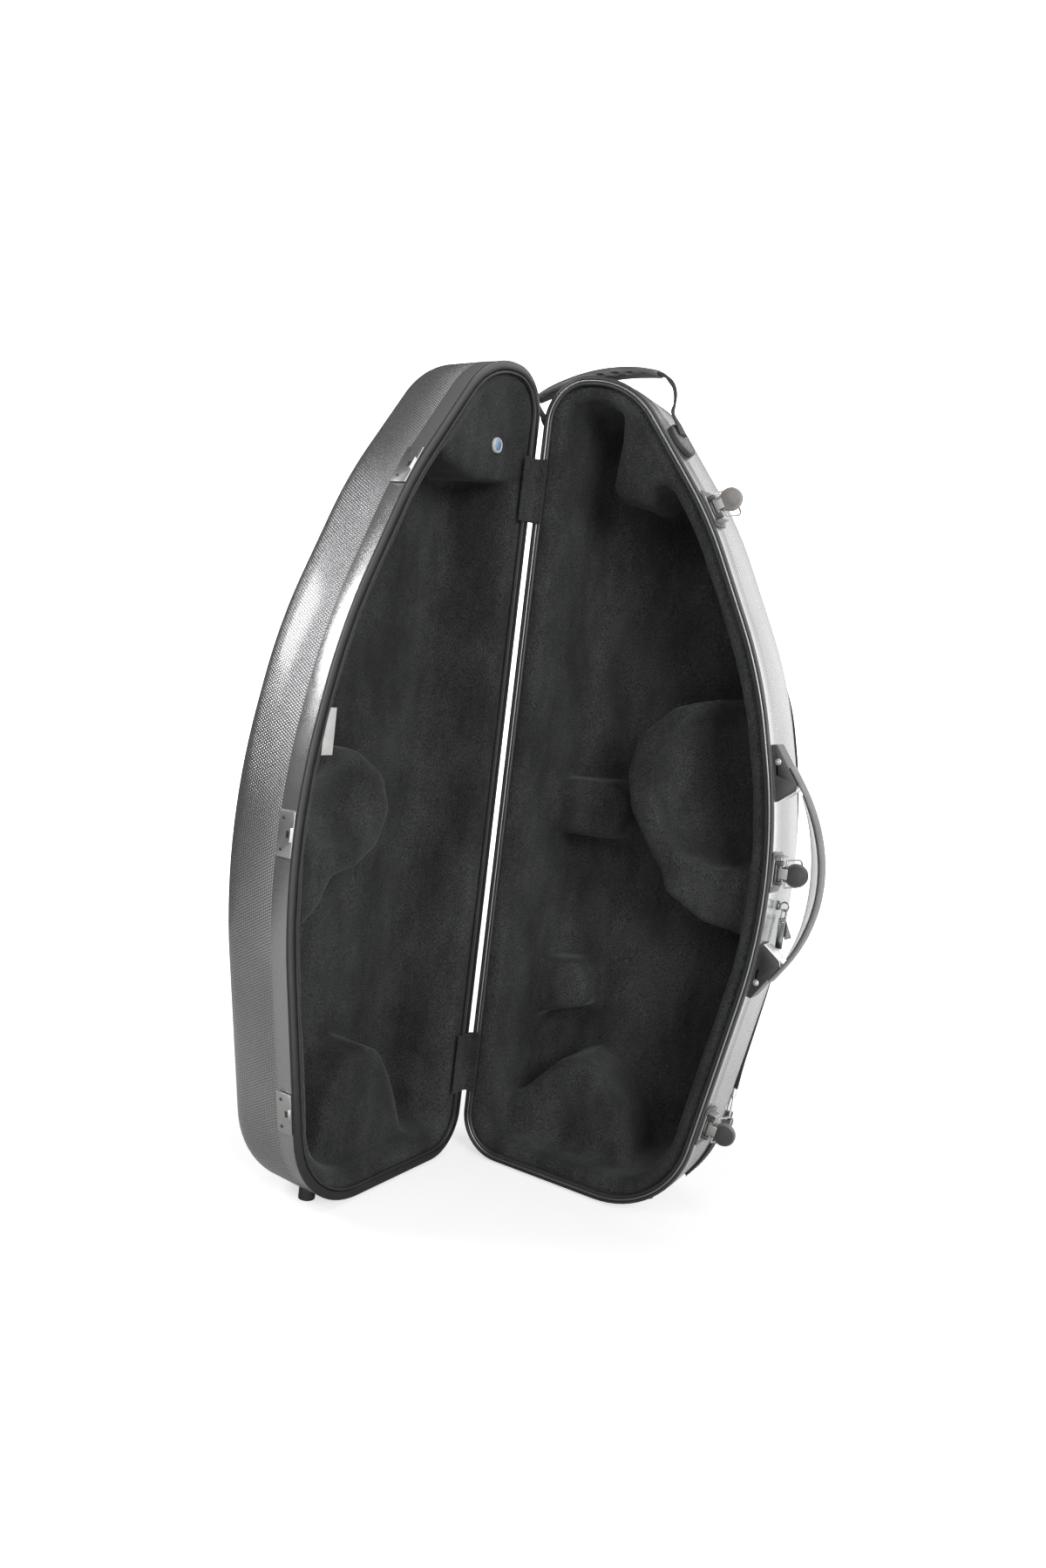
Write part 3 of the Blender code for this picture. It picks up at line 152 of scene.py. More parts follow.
# Straps
STRAP_WIDTH = 0.024
STRAP_THICKNESS = 0.0030
BOW_ALLOWANCE = 0.0012
PAD_WIDTH = 0.048
PAD_THICKNESS = 0.009
HOOK_BARREL = 0.0030
STRAP_FOOT = 0.122

# Foam blocks: outline of (x, z), the depth of the near face, and a dish of centre and radii
FOAM_BLOCKS = {
    "base": {
        "base_neck_block": (((0.084, 0.84), (0.086, 0.745), (0.082, 0.705), (0.092, 0.690), (0.114, 0.690),
                             (0.130, 0.706), (0.22, 0.706), (0.22, 0.84)), 0.0100, None),
        "base_bell_cradle": (((0.33, 0.512), (0.215, 0.512), (0.170, 0.498), (0.138, 0.468), (0.129, 0.430),
                              (0.138, 0.390), (0.165, 0.352), (0.182, 0.335), (0.186, 0.318), (0.230, 0.295),
                              (0.33, 0.288)), 0.0260, ((0.236, 0.030, 0.432), (0.074, 0.058, 0.082))),
        "base_upper_rest": (((-0.02, 0.402), (0.098, 0.412), (0.116, 0.402), (0.120, 0.372), (0.105, 0.350),
                             (-0.02, 0.345)), 0.0620, None),
        "base_lower_rest": (((-0.02, 0.202), (0.075, 0.215), (0.092, 0.200), (0.095, 0.168), (0.060, 0.155),
                             (0.020, 0.137), (-0.02, 0.135)), 0.0680, None),
        "base_bow_block": (((-0.02, -0.02), (-0.02, 0.024), (0.045, 0.068), (0.085, 0.112), (0.110, 0.124),
                            (0.140, 0.112), (0.165, 0.080), (0.180, 0.030), (0.186, -0.02)), 0.0360, None),
    },
    "lid": {
        "lid_neck_block": (((-0.02, 0.84), (-0.02, 0.712), (0.030, 0.699), (0.083, 0.693), (0.130, 0.700),
                            (0.150, 0.718), (0.22, 0.84)), 0.0100, None),
        "lid_bell_pad": (((0.33, 0.440), (0.250, 0.437), (0.190, 0.428), (0.150, 0.405), (0.136, 0.370),
                          (0.150, 0.335), (0.180, 0.316), (0.212, 0.310), (0.225, 0.285), (0.245, 0.268),
                          (0.33, 0.262)), 0.0300, ((0.215, 0.016, 0.378), (0.060, 0.030, 0.046))),
        "lid_bow_block": (((0.195, -0.02), (0.200, 0.060), (0.190, 0.098), (0.170, 0.128), (0.145, 0.138),
                           (0.115, 0.125), (0.090, 0.090), (0.072, 0.050), (0.050, -0.02)), 0.0260, None),
    },
}


# ---- places ----

def place(half, x, depth, z):
    """Point of a half, given across the half, into its depth and up."""
    offset = (x, depth, z) if half == "base" else (-depth, -x, z)
    return ORIGIN + Vector(offset)


def inset_polygon(corners, inset):
    corners = [Vector(corner[:2]) for corner in corners]
    edges = []
    for i, start in enumerate(corners):
        along = (corners[(i + 1) % len(corners)] - start).normalized()
        edges.append((start + Vector((-along.y, along.x)) * inset, along))
    moved = []
    for i in range(len(corners)):
        (p, u), (q, v) = edges[i - 1], edges[i]
        cross = u.x * v.y - u.y * v.x
        moved.append(p + u * (((q - p).x * v.y - (q - p).y * v.x) / cross))
    return moved


def outline(inset, arc_steps=SOLID_STEPS):
    """Rounded rim outline moved inwards by the inset, as (x, z) points."""
    corners = inset_polygon(RIM_CORNERS, inset)
    count = len(corners)
    turns, reach = [], []
    for i, (_, _, radius) in enumerate(RIM_CORNERS):
        back = (corners[i - 1] - corners[i]).normalized()
        ahead = (corners[(i + 1) % count] - corners[i]).normalized()
        half = math.acos(max(-1, min(1, back.dot(ahead)))) / 2
        turns.append((back, ahead, half))
        reach.append(max(radius - inset, LEAST_RADIUS) / math.tan(half))
    for i in range(count):
        j = (i + 1) % count
        room = (corners[j] - corners[i]).length * 0.98
        total = reach[i] + reach[j]
        if total > room:
            reach[i] *= room / total
            reach[j] *= room / total
    points = []
    for i, (back, ahead, half) in enumerate(turns):
        radius = reach[i] * math.tan(half)
        centre = corners[i] + (back + ahead).normalized() * radius / math.sin(half)
        first = corners[i] + back * reach[i] - centre
        last = corners[i] + ahead * reach[i] - centre
        start = math.atan2(first.y, first.x)
        sweep = (math.atan2(last.y, last.x) - start + math.pi) % (2 * math.pi) - math.pi
        for k in range(arc_steps[i] + 1):
            angle = start + sweep * k / arc_steps[i]
            points.append(centre + Vector((math.cos(angle), math.sin(angle))) * radius)
    return points


def ring(half, inset, depth):
    return [place(half, p.x, depth, p.y) for p in outline(inset, FINE_STEPS)]


def wall_profile(half, offset, start, steps=EDGE_STEPS):
    """(inset, depth) points down the wall of a half and round its back edge."""
    radius = EDGE_RADIUS[half]
    centre_depth = DEPTH[half] - radius
    centre_inset = SHELL_SETBACK + DRAFT[half] * (centre_depth - BAND_WIDTH) + radius
    points = [(SHELL_SETBACK + offset, start), (SHELL_SETBACK + offset, BAND_WIDTH)]
    for k in range(steps + 1):
        angle = math.pi / 2 * k / steps
        reach = radius - offset
        points.append((centre_inset - reach * math.cos(angle), centre_depth + reach * math.sin(angle)))
    return points


def lining_profile(half):
    floor = DEPTH[half] - WALL - FLOOR_FOAM
    start = RIM_WIDTH + GAP + (0.0025 if half == "lid" else 0)
    inner = RIM_WIDTH + GAP + LEDGE_WIDTH
    foot = inner + LINING_SLOPE
    return [
        (start, LEDGE_DEPTH - 0.0020), (inner - 0.003, LEDGE_DEPTH), (inner, LEDGE_DEPTH + 0.004),
        (foot - 0.004, floor - FLOOR_COVE), (foot, floor - FLOOR_COVE / 4), (foot + FLOOR_COVE / 2, floor),
    ]


def wall_crossing(z, inset, outer=True):
    """x and outward angle of the outline where it crosses a height."""
    points = outline(inset)
    best = None
    for a, b in zip(points, points[1:] + points[:1]):
        if (a.y - z) * (b.y - z) > 0 or abs(b.y - a.y) < 1e-9:
            continue
        x = a.x + (b.x - a.x) * (z - a.y) / (b.y - a.y)
        if best is None or (x > best[0]) == outer:
            best = (x, math.atan2(a.x - b.x, b.y - a.y))
    return best


def station(z, half="base"):
    """Frame on the rim's outer edge: X outwards, Y into the base's depth, Z along the rim."""
    x, angle = wall_crossing(z, 0)
    turn = Matrix.Identity(4) if half == "base" else Matrix.Rotation(math.radians(-90), 4, "Z")
    edge = Matrix.Translation((x, 0, z)) @ Matrix.Rotation(-angle, 4, "Y")
    return Matrix.Translation(ORIGIN) @ turn @ edge


def surface_point(z, edge_angle, lift):
    """Point above the base's back edge curve, with its outward normal."""
    radius = EDGE_RADIUS["base"]
    centre_depth = DEPTH["base"] - radius
    centre_inset = SHELL_SETBACK + DRAFT["base"] * (centre_depth - BAND_WIDTH) + radius
    reach = radius + lift
    x, angle = wall_crossing(z, centre_inset - reach * math.cos(edge_angle))
    outward = Vector((math.cos(angle), 0, math.sin(angle)))
    normal = outward * math.cos(edge_angle) + Vector((0, 1, 0)) * math.sin(edge_angle)
    return place("base", x, centre_depth + reach * math.sin(edge_angle), z), normal.normalized()


# ---- meshes ----

def mesh_object(name, bm, materials, smooth=40):
    bmesh.ops.recalc_face_normals(bm, faces=bm.faces)
    mesh = bpy.data.meshes.new(name)
    bm.to_mesh(mesh)
    bm.free()
    for item in materials:
        mesh.materials.append(item)
    mesh.shade_smooth()
    mesh.set_sharp_from_angle(angle=math.radians(smooth))
    made = bpy.data.objects.new(name, mesh)
    bpy.context.scene.collection.objects.link(made)
    return made


def skin(rings, wrap=False, strips=None):
    """Closed mesh through rings of equal count, with a chart in metres; strips holds material indices."""
    bm = bmesh.new()
    chart = bm.loops.layers.uv.new("surface")
    rows = [[bm.verts.new(point) for point in line] for line in rings]
    count = len(rows[0])
    widest = max(rings, key=lambda line: sum((line[i] - line[i - 1]).length for i in range(count)))
    around = [0.0]
    for i in range(count):
        around.append(around[-1] + (widest[(i + 1) % count] - widest[i]).length)
    along = [0.0]
    for a, b in zip(rings, rings[1:] + rings[:1]):
        along.append(along[-1] + (b[0] - a[0]).length)
    gaps = [(k, k + 1) for k in range(len(rows) - 1)]
    if wrap:
        gaps.append((len(rows) - 1, 0))
    for k, (a, b) in enumerate(gaps):
        for i in range(count):
            j = (i + 1) % count
            face = bm.faces.new((rows[a][i], rows[a][j], rows[b][j], rows[b][i]))
            face.material_index = strips[k] if strips else 0
            corners = ((i, k), (i + 1, k), (i + 1, k + 1), (i, k + 1))
            for loop, (u, v) in zip(face.loops, corners):
                loop[chart].uv = (around[u], along[v])
    if not wrap:
        for row, k in ((rows[0], 0), (rows[-1], len(gaps) - 1)):
            face = bm.faces.new(row)
            face.material_index = strips[k] if strips else 0
            for loop in face.loops:
                loop[chart].uv = (loop.vert.co.x + loop.vert.co.y, loop.vert.co.z)
    return bm


def section(width, thick, corner, steps=3):
    """Rounded rectangle as (across, up) pairs."""
    corner = min(corner, width / 2 - 1e-5, thick / 2 - 1e-5)
    points = []
    for k, (side, rise) in enumerate(((1, 1), (-1, 1), (-1, -1), (1, -1))):
        for s in range(steps + 1):
            angle = math.pi / 2 * (k + s / steps)
            across = side * (width / 2 - corner) + corner * math.cos(angle)
            points.append((across, rise * (thick / 2 - corner) + corner * math.sin(angle)))
    return points


def band(name, rows, corner, materials):
    """Flat strap with round edges through rows of (point, normal, width, thickness)."""
    rings = []
    last = len(rows) - 1
    for i, (point, normal, width, thick) in enumerate(rows):
        ahead = (rows[min(i + 1, last)][0] - rows[max(i - 1, 0)][0]).normalized()
        across = ahead.cross(normal).normalized()
        up = across.cross(ahead).normalized()
        if up.dot(normal) < 0:
            up = -up
        rings.append([point + across * a + up * b for a, b in section(width, thick, corner)])
    return mesh_object(name, skin(rings), materials)


def eased(rows, steps):
    """Rows of numbers refined by smooth steps between them."""
    out = []
    for i in range(len(rows) - 1):
        around = rows[max(i - 1, 0)], rows[i], rows[i + 1], rows[min(i + 2, len(rows) - 1)]
        for s in range(steps):
            t = s / steps
            out.append([
                0.5 * (2 * q + (r - p) * t + (2 * p - 5 * q + 4 * r - w) * t * t + (3 * q - p - 3 * r + w) * t ** 3)
                for p, q, r, w in zip(*around)
            ])
    out.append(list(rows[-1]))
    return out


def eased_rows(rows, steps):
    """The same for rows of (point, normal, width, thickness)."""
    flat = [[*point, *normal, width, thick] for point, normal, width, thick in rows]
    return [(Vector(r[:3]), Vector(r[3:6]).normalized(), r[6], r[7]) for r in eased(flat, steps)]


def lathe(name, profile, frame_at, materials, sides=36, strips=None, smooth=30):
    """Turned solid: (radius, height) pairs about the local Z axis."""
    rings = []
    for radius, height in profile:
        turns = [2 * math.pi * k / sides for k in range(sides)]
        reach = max(radius, 1e-5)
        rings.append([frame_at @ Vector((math.cos(a) * reach, math.sin(a) * reach, height)) for a in turns])
    bm = skin(rings, strips=strips)
    bmesh.ops.remove_doubles(bm, verts=bm.verts, dist=3e-5)
    return mesh_object(name, bm, materials, smooth)


def rounded_box(name, low, high, frame_at, corner, materials):
    bm = bmesh.new()
    bmesh.ops.create_cube(bm, size=1)
    for vertex in bm.verts:
        vertex.co = Vector([low[i] if vertex.co[i] < 0 else high[i] for i in range(3)])
    bmesh.ops.bevel(bm, geom=bm.edges[:], offset=corner, segments=3, affect="EDGES", profile=0.5)
    bm.transform(frame_at)
    return mesh_object(name, bm, materials, 35)


def tube(name, points, radius, materials, closed=False):
    """Round wire along points, as a plain mesh."""
    curve = bpy.data.curves.new(name, "CURVE")
    curve.dimensions = "3D"
    curve.bevel_depth = radius
    curve.bevel_resolution = 4
    curve.use_fill_caps = True
    spline = curve.splines.new("POLY")
    spline.points.add(len(points) - 1)
    for knot, point in zip(spline.points, points):
        knot.co = (*point, 1)
    spline.use_cyclic_u = closed
    guide = bpy.data.objects.new(name, curve)
    bpy.context.scene.collection.objects.link(guide)
    graph = bpy.context.evaluated_depsgraph_get()
    bm = bmesh.new()
    bm.from_mesh(bpy.data.meshes.new_from_object(guide.evaluated_get(graph)))
    bpy.data.objects.remove(guide, do_unlink=True)
    bmesh.ops.remove_doubles(bm, verts=bm.verts, dist=1e-6)
    return mesh_object(name, bm, materials, 50)


def settle(made):
    """Turns the evaluated shape into a plain mesh and drops the modifiers."""
    graph = bpy.context.evaluated_depsgraph_get()
    mesh = bpy.data.meshes.new_from_object(made.evaluated_get(graph))
    made.modifiers.clear()
    made.data = mesh
    return made


def combine(target, tool, operation):
    step = target.modifiers.new("combine", "BOOLEAN")
    step.operation = operation
    step.solver = "EXACT"
    step.object = tool
    settle(target)
    bpy.data.objects.remove(tool, do_unlink=True)
    return target


def dress(made, *nodes, body=None, slot=None):
    """Rides the piece on its nodes' body and hides those nodes."""
    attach(made, body or BODY_OF[nodes[0]])
    if nodes:
        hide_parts(*nodes)
    return made


def refined(node, material, width, suffix="_part"):
    """Copy of a solid with its loose triangles merged and its edges rounded."""
    bm = bmesh.new()
    bm.from_mesh(frame["nodes"][node].data)
    bmesh.ops.remove_doubles(bm, verts=bm.verts, dist=1e-5)
    bmesh.ops.dissolve_limit(bm, angle_limit=math.radians(2), verts=bm.verts, edges=bm.edges)
    made = mesh_object(node + suffix, bm, [material], 35)
    step = made.modifiers.new("round", "BEVEL")
    step.width = width
    step.segments = 2
    step.limit_method = "ANGLE"
    step.angle_limit = math.radians(35)
    settle(made)
    made.data.shade_smooth()
    made.data.set_sharp_from_angle(angle=math.radians(40))
    return dress(made, node)


# ---- repeated fittings ----

def point_mesh(name, lines, directions=None):
    """Mesh of points, joined along each line, with an outward direction on each point."""
    mesh = bpy.data.meshes.new(name)
    points = [point for line in lines for point in line]
    edges, first = [], 0
    for line in lines:
        edges += [(first + k, first + k + 1) for k in range(len(line) - 1)]
        first += len(line)
    mesh.from_pydata(points, edges, [])
    if directions:
        out = mesh.attributes.new("out", "FLOAT_VECTOR", "POINT")
        out.data.foreach_set("vector", [c for direction in directions for c in direction])
    made = bpy.data.objects.new(name, mesh)
    bpy.context.scene.collection.objects.link(made)
    return made


def node_tree(name, sizes):
    """Empty geometry tree with named float inputs."""
    tree = bpy.data.node_groups.new(name, "GeometryNodeTree")
    tree.interface.new_socket("Geometry", in_out="INPUT", socket_type="NodeSocketGeometry")
    for label, value in sizes:
        socket = tree.interface.new_socket(label, in_out="INPUT", socket_type="NodeSocketFloat")
        socket.default_value = value
        socket.subtype = "DISTANCE"
    tree.interface.new_socket("Geometry", in_out="OUTPUT", socket_type="NodeSocketGeometry")
    return tree, tree.nodes.new("NodeGroupInput"), tree.nodes.new("NodeGroupOutput")


def finish_tree(tree, instances, output, material):
    realize = tree.nodes.new("GeometryNodeRealizeInstances")
    paint = tree.nodes.new("GeometryNodeSetMaterial")
    paint.inputs["Material"].default_value = material
    tree.links.new(instances.outputs["Instances"], realize.inputs["Geometry"])
    tree.links.new(realize.outputs["Geometry"], paint.inputs["Geometry"])
    tree.links.new(paint.outputs["Geometry"], output.inputs["Geometry"])


def run_tree(made, tree, sizes):
    step = made.modifiers.new("repeat", "NODES")
    step.node_group = tree
    for item in tree.interface.items_tree:
        if item.in_out == "INPUT" and item.name in sizes:
            step[item.identifier] = sizes[item.name]
    settle(made)
    made.data.shade_smooth()
    return made


def studs(name, spots, radius, rise, material):
    """Flattened round heads on (point, direction) spots."""
    tree, source, output = node_tree(name + "_tree", (("Head radius", radius), ("Head rise", rise)))
    ball = tree.nodes.new("GeometryNodeMeshUVSphere")
    ball.inputs["Segments"].default_value = 20
    ball.inputs["Rings"].default_value = 10
    ball.inputs["Radius"].default_value = 1
    size = tree.nodes.new("ShaderNodeCombineXYZ")
    scale = tree.nodes.new("GeometryNodeTransform")
    out = tree.nodes.new("GeometryNodeInputNamedAttribute")
    out.data_type = "FLOAT_VECTOR"
    out.inputs["Name"].default_value = "out"
    turn = tree.nodes.new("FunctionNodeAlignRotationToVector")
    turn.axis = "Z"
    spread = tree.nodes.new("GeometryNodeInstanceOnPoints")
    links = tree.links
    for axis in ("X", "Y"):
        links.new(source.outputs["Head radius"], size.inputs[axis])
    links.new(source.outputs["Head rise"], size.inputs["Z"])
    links.new(ball.outputs["Mesh"], scale.inputs["Geometry"])
    links.new(size.outputs["Vector"], scale.inputs["Scale"])
    links.new(out.outputs["Attribute"], turn.inputs["Vector"])
    links.new(source.outputs["Geometry"], spread.inputs["Points"])
    links.new(scale.outputs["Geometry"], spread.inputs["Instance"])
    links.new(turn.outputs["Rotation"], spread.inputs["Rotation"])
    finish_tree(tree, spread, output, material)
    made = point_mesh(name, [[spot] for spot, _ in spots], [direction for _, direction in spots])
    return run_tree(made, tree, {"Head radius": radius, "Head rise": rise})


def stitches(name, lines, length, gap, radius, material):
    """Short thread stitches along lines of points."""
    sizes = {"Stitch length": length, "Pitch": length + gap, "Thread radius": radius}
    tree, source, output = node_tree(name + "_tree", tuple(sizes.items()))
    path = tree.nodes.new("GeometryNodeMeshToCurve")
    spots = tree.nodes.new("GeometryNodeCurveToPoints")
    spots.mode = "LENGTH"
    ball = tree.nodes.new("GeometryNodeMeshUVSphere")
    ball.inputs["Segments"].default_value = 6
    ball.inputs["Rings"].default_value = 5
    ball.inputs["Radius"].default_value = 1
    half = tree.nodes.new("ShaderNodeMath")
    half.operation = "MULTIPLY"
    half.inputs[1].default_value = 0.5
    size = tree.nodes.new("ShaderNodeCombineXYZ")
    scale = tree.nodes.new("GeometryNodeTransform")
    turn = tree.nodes.new("FunctionNodeAlignRotationToVector")
    turn.axis = "Z"
    spread = tree.nodes.new("GeometryNodeInstanceOnPoints")
    links = tree.links
    links.new(source.outputs["Geometry"], path.inputs["Mesh"])
    links.new(path.outputs["Curve"], spots.inputs["Curve"])
    links.new(source.outputs["Pitch"], spots.inputs["Length"])
    for axis in ("X", "Y"):
        links.new(source.outputs["Thread radius"], size.inputs[axis])
    links.new(source.outputs["Stitch length"], half.inputs[0])
    links.new(half.outputs["Value"], size.inputs["Z"])
    links.new(ball.outputs["Mesh"], scale.inputs["Geometry"])
    links.new(size.outputs["Vector"], scale.inputs["Scale"])
    links.new(spots.outputs["Tangent"], turn.inputs["Vector"])
    links.new(spots.outputs["Points"], spread.inputs["Points"])
    links.new(scale.outputs["Geometry"], spread.inputs["Instance"])
    links.new(turn.outputs["Rotation"], spread.inputs["Rotation"])
    finish_tree(tree, spread, output, material)
    return run_tree(point_mesh(name, lines), tree, sizes)


# ---- finishes ----

FINISHES = {}


def principled(name, **inputs):
    material = bpy.data.materials.new(name)
    material.use_nodes = True
    shader = material.node_tree.nodes["Principled BSDF"]
    for label, value in inputs.items():
        shader.inputs[label.replace("_", " ")].default_value = value
    return material, material.node_tree, shader


def add(tree, kind, values=None, **settings):
    made = tree.nodes.new(kind)
    for key, value in settings.items():
        setattr(made, key, value)
    for key, value in (values or {}).items():
        made.inputs[key].default_value = value
    return made


def grain(tree, size, stretch=(1, 1, 1), detail=4.0, charted=False):
    """Noise of a given grain size in metres, stretched along the object's own axes."""
    where = add(tree, "ShaderNodeTexCoord")
    turn = add(tree, "ShaderNodeMapping", {"Scale": stretch})
    speck = add(tree, "ShaderNodeTexNoise", {"Scale": 1 / size, "Detail": detail, "Roughness": 0.6})
    tree.links.new(where.outputs["UV" if charted else "Object"], turn.inputs["Vector"])
    tree.links.new(turn.outputs["Vector"], speck.inputs["Vector"])
    return speck.outputs["Fac"]


def spread(tree, value, low, high, into, start=0.3, end=0.7):
    """Maps a value onto a number range and links it."""
    step = add(tree, "ShaderNodeMapRange", {"From Min": start, "From Max": end, "To Min": low, "To Max": high})
    tree.links.new(value, step.inputs["Value"])
    if into is not None:
        tree.links.new(step.outputs["Result"], into)
    return step.outputs["Result"]


def blended(tree, factor, dark, light, into):
    """Mixes two colours; either may be a colour or another node's output."""
    mix = add(tree, "ShaderNodeMix", data_type="RGBA")
    for socket, colour in ((mix.inputs[6], dark), (mix.inputs[7], light)):
        if isinstance(colour, bpy.types.NodeSocket):
            tree.links.new(colour, socket)
        else:
            socket.default_value = (*colour, 1)
    tree.links.new(factor, mix.inputs[0])
    if into is not None:
        tree.links.new(mix.outputs[2], into)
    return mix.outputs[2]


def relief(tree, shader, height, distance, strength=1.0, under=None):
    bump = add(tree, "ShaderNodeBump", {"Distance": distance, "Strength": strength})
    tree.links.new(height, bump.inputs["Height"])
    if under is not None:
        tree.links.new(under, bump.inputs["Normal"])
    tree.links.new(bump.outputs["Normal"], shader.inputs["Normal"])
    return bump.outputs["Normal"]


def worn(tree, colour, bare, into, start=0.53, end=0.60):
    """Lightens sharp edges, where hands and floors rub."""
    shape = add(tree, "ShaderNodeNewGeometry")
    edge = spread(tree, shape.outputs["Pointiness"], 0, 1, None, start, end)
    return blended(tree, edge, colour, bare, into)


def moulded(name, dark, light, rough, size, depth, bare=None, metallic=0.0, stretch=(1, 1, 1), **inputs):
    """Moulded, painted or cast surface: two tones, uneven gloss, fine relief and rubbed edges."""
    material, tree, shader = principled(name, Metallic=metallic, **inputs)
    fine = grain(tree, size, stretch)
    broad = grain(tree, size * 22, stretch, 2)
    colour = blended(tree, spread(tree, broad, 0, 1, None), dark, light, None if bare else shader.inputs["Base Color"])
    if bare:
        worn(tree, colour, bare, shader.inputs["Base Color"])
    spread(tree, fine, rough[0], rough[1], shader.inputs["Roughness"])
    relief(tree, shader, fine, depth)
    FINISHES[name] = material
    return material


def honeycomb(name, settings):
    """Silver moulded skin with raised dots in a honeycomb lattice on the surface chart; the darker tone between the
    dots is painted shade.
    """
    material, tree, shader = principled(name, Metallic=0.75, Coat_Weight=0.3, Coat_Roughness=0.14)
    pitch = settings.pitch
    cell = (pitch, pitch * math.sqrt(3), 1)
    chart = add(tree, "ShaderNodeTexCoord")
    reach = []
    for share in (0.0, 0.5):
        moved = add(tree, "ShaderNodeVectorMath", operation="ADD")
        moved.inputs[1].default_value = (cell[0] * share, cell[1] * share, 0)
        wrap = add(tree, "ShaderNodeVectorMath", operation="WRAP")
        wrap.inputs[1].default_value = (cell[0] / 2, cell[1] / 2, 1)
        wrap.inputs[2].default_value = (-cell[0] / 2, -cell[1] / 2, -1)
        size = add(tree, "ShaderNodeVectorMath", operation="LENGTH")
        tree.links.new(chart.outputs["UV"], moved.inputs[0])
        tree.links.new(moved.outputs["Vector"], wrap.inputs[0])
        tree.links.new(wrap.outputs["Vector"], size.inputs[0])
        reach.append(size.outputs["Value"])
    nearest = add(tree, "ShaderNodeMath", operation="MINIMUM")
    for value, socket in zip(reach, nearest.inputs):
        tree.links.new(value, socket)
    dot = spread(tree, nearest.outputs["Value"], 1, 0, None, pitch * 0.22, pitch * 0.48)
    broad = grain(tree, 0.09, detail=2)
    tone = blended(tree, spread(tree, broad, 0, 1, None), settings.dark, settings.light, None)
    # Painted shade: the grooves between the dots take the darker groove tone.
    blended(tree, dot, settings.groove_shade, tone, shader.inputs["Base Color"])
    speck = grain(tree, 0.0012)
    spread(tree, speck, 0.20, 0.34, shader.inputs["Roughness"])
    relief(tree, shader, dot, settings.rise * 0.6)
    FINISHES[name] = material


def brushed(name, dark, light, rough, stretch, charted, metallic=0.9, **inputs):
    """Metal drawn out along one axis, with long fine scratches."""
    material, tree, shader = principled(name, Metallic=metallic, **inputs)
    scratch = grain(tree, 0.0006, stretch, 3, charted)
    broad = grain(tree, 0.06, detail=2)
    blended(tree, spread(tree, scratch, 0, 1, None), dark, light, shader.inputs["Base Color"])
    spread(tree, broad, rough[0], rough[1], shader.inputs["Roughness"])
    relief(tree, shader, scratch, 0.00004)
    FINISHES[name] = material


def piled(name, dark, light, pile):
    """Short plush pile: uneven nap, fine fibre relief and a soft sheen at grazing angles."""
    material, tree, shader = principled(
        name, Roughness=0.92, Sheen_Weight=0.22, Sheen_Roughness=0.38, Sheen_Tint=(0.62, 0.65, 0.64, 1),
        Specular_IOR_Level=0.15,
    )
    fibre = grain(tree, pile, (1, 1, 0.55), 6)
    tuft = grain(tree, pile * 5, detail=4)
    nap = grain(tree, 0.045, (1, 1, 0.5), 3)
    both = add(tree, "ShaderNodeMath", operation="MULTIPLY")
    tree.links.new(spread(tree, fibre, 0.12, 1, None, 0.38, 0.66), both.inputs[0])
    tree.links.new(spread(tree, nap, 0.45, 1, None, 0.35, 0.65), both.inputs[1])
    blended(tree, both.outputs["Value"], dark, light, shader.inputs["Base Color"])
    first = relief(tree, shader, tuft, 0.0008, 0.7)
    relief(tree, shader, fibre, 0.0006, 0.9, first)
    FINISHES[name] = material


def woven(name, dark, light, pitch, **inputs):
    """Plain webbing weave on the surface chart."""
    material, tree, shader = principled(
        name, Roughness=0.85, Sheen_Weight=0.25, Sheen_Roughness=0.5, Specular_IOR_Level=0.25, **inputs
    )
    chart = add(tree, "ShaderNodeTexCoord")
    ribs = []
    for direction, share in (("X", 1.0), ("Y", 0.55)):
        wave = add(tree, "ShaderNodeTexWave", {"Scale": 0.314 / (pitch * share), "Distortion": 0.6, "Detail": 1.0},
                   bands_direction=direction)
        tree.links.new(chart.outputs["UV"], wave.inputs["Vector"])
        ribs.append(wave.outputs["Fac"])
    knit = add(tree, "ShaderNodeMath", operation="MULTIPLY")
    for value, socket in zip(ribs, knit.inputs):
        tree.links.new(value, socket)
    fuzz = grain(tree, 0.0009)
    tone = blended(tree, knit.outputs["Value"], dark, light, None)
    blended(tree, spread(tree, fuzz, 0, 0.4, None), tone, dark, shader.inputs["Base Color"])
    relief(tree, shader, knit.outputs["Value"], 0.0005)
    FINISHES[name] = material


# ---- settings ----

def length(name, description, default, **extra):
    return FloatProperty(name=name, description=description, default=default, min=0, unit="LENGTH", **extra)


def colour(name, description, default):
    return FloatVectorProperty(name=name, description=description, default=default, min=0, max=1, subtype="COLOR")


class ShellSettings(bpy.types.PropertyGroup):
    pitch: length("Dot pitch", "Distance between the raised dots of the shell", 0.0028, precision=5)
    rise: length("Dot rise", "Height of the raised dots", 0.00035, precision=5)
    dark: colour("Dark tone", "Darker tone of the silver skin", (0.32, 0.32, 0.325))
    light: colour("Light tone", "Lighter tone of the silver skin", (0.44, 0.44, 0.445))
    # Painted shade: the tone painted into the grooves between the dots.
    groove_shade: colour("Groove", "Tone between the dots", (0.17, 0.17, 0.174))


class PlushSettings(bpy.types.PropertyGroup):
    voxel: length("Mesh size", "Size of the faces of the plush surface", 0.0034, precision=5)
    softness: IntProperty(name="Softness", description="Smoothing steps on foam corners", default=16, min=0)
    pile: length("Pile", "Size of the plush fibres", 0.0008, precision=5)
    dark: colour("Dark tone", "Tone between the fibres", (0.004, 0.0043, 0.0042))
    light: colour("Light tone", "Tone of the fibre ends", (0.115, 0.120, 0.117))


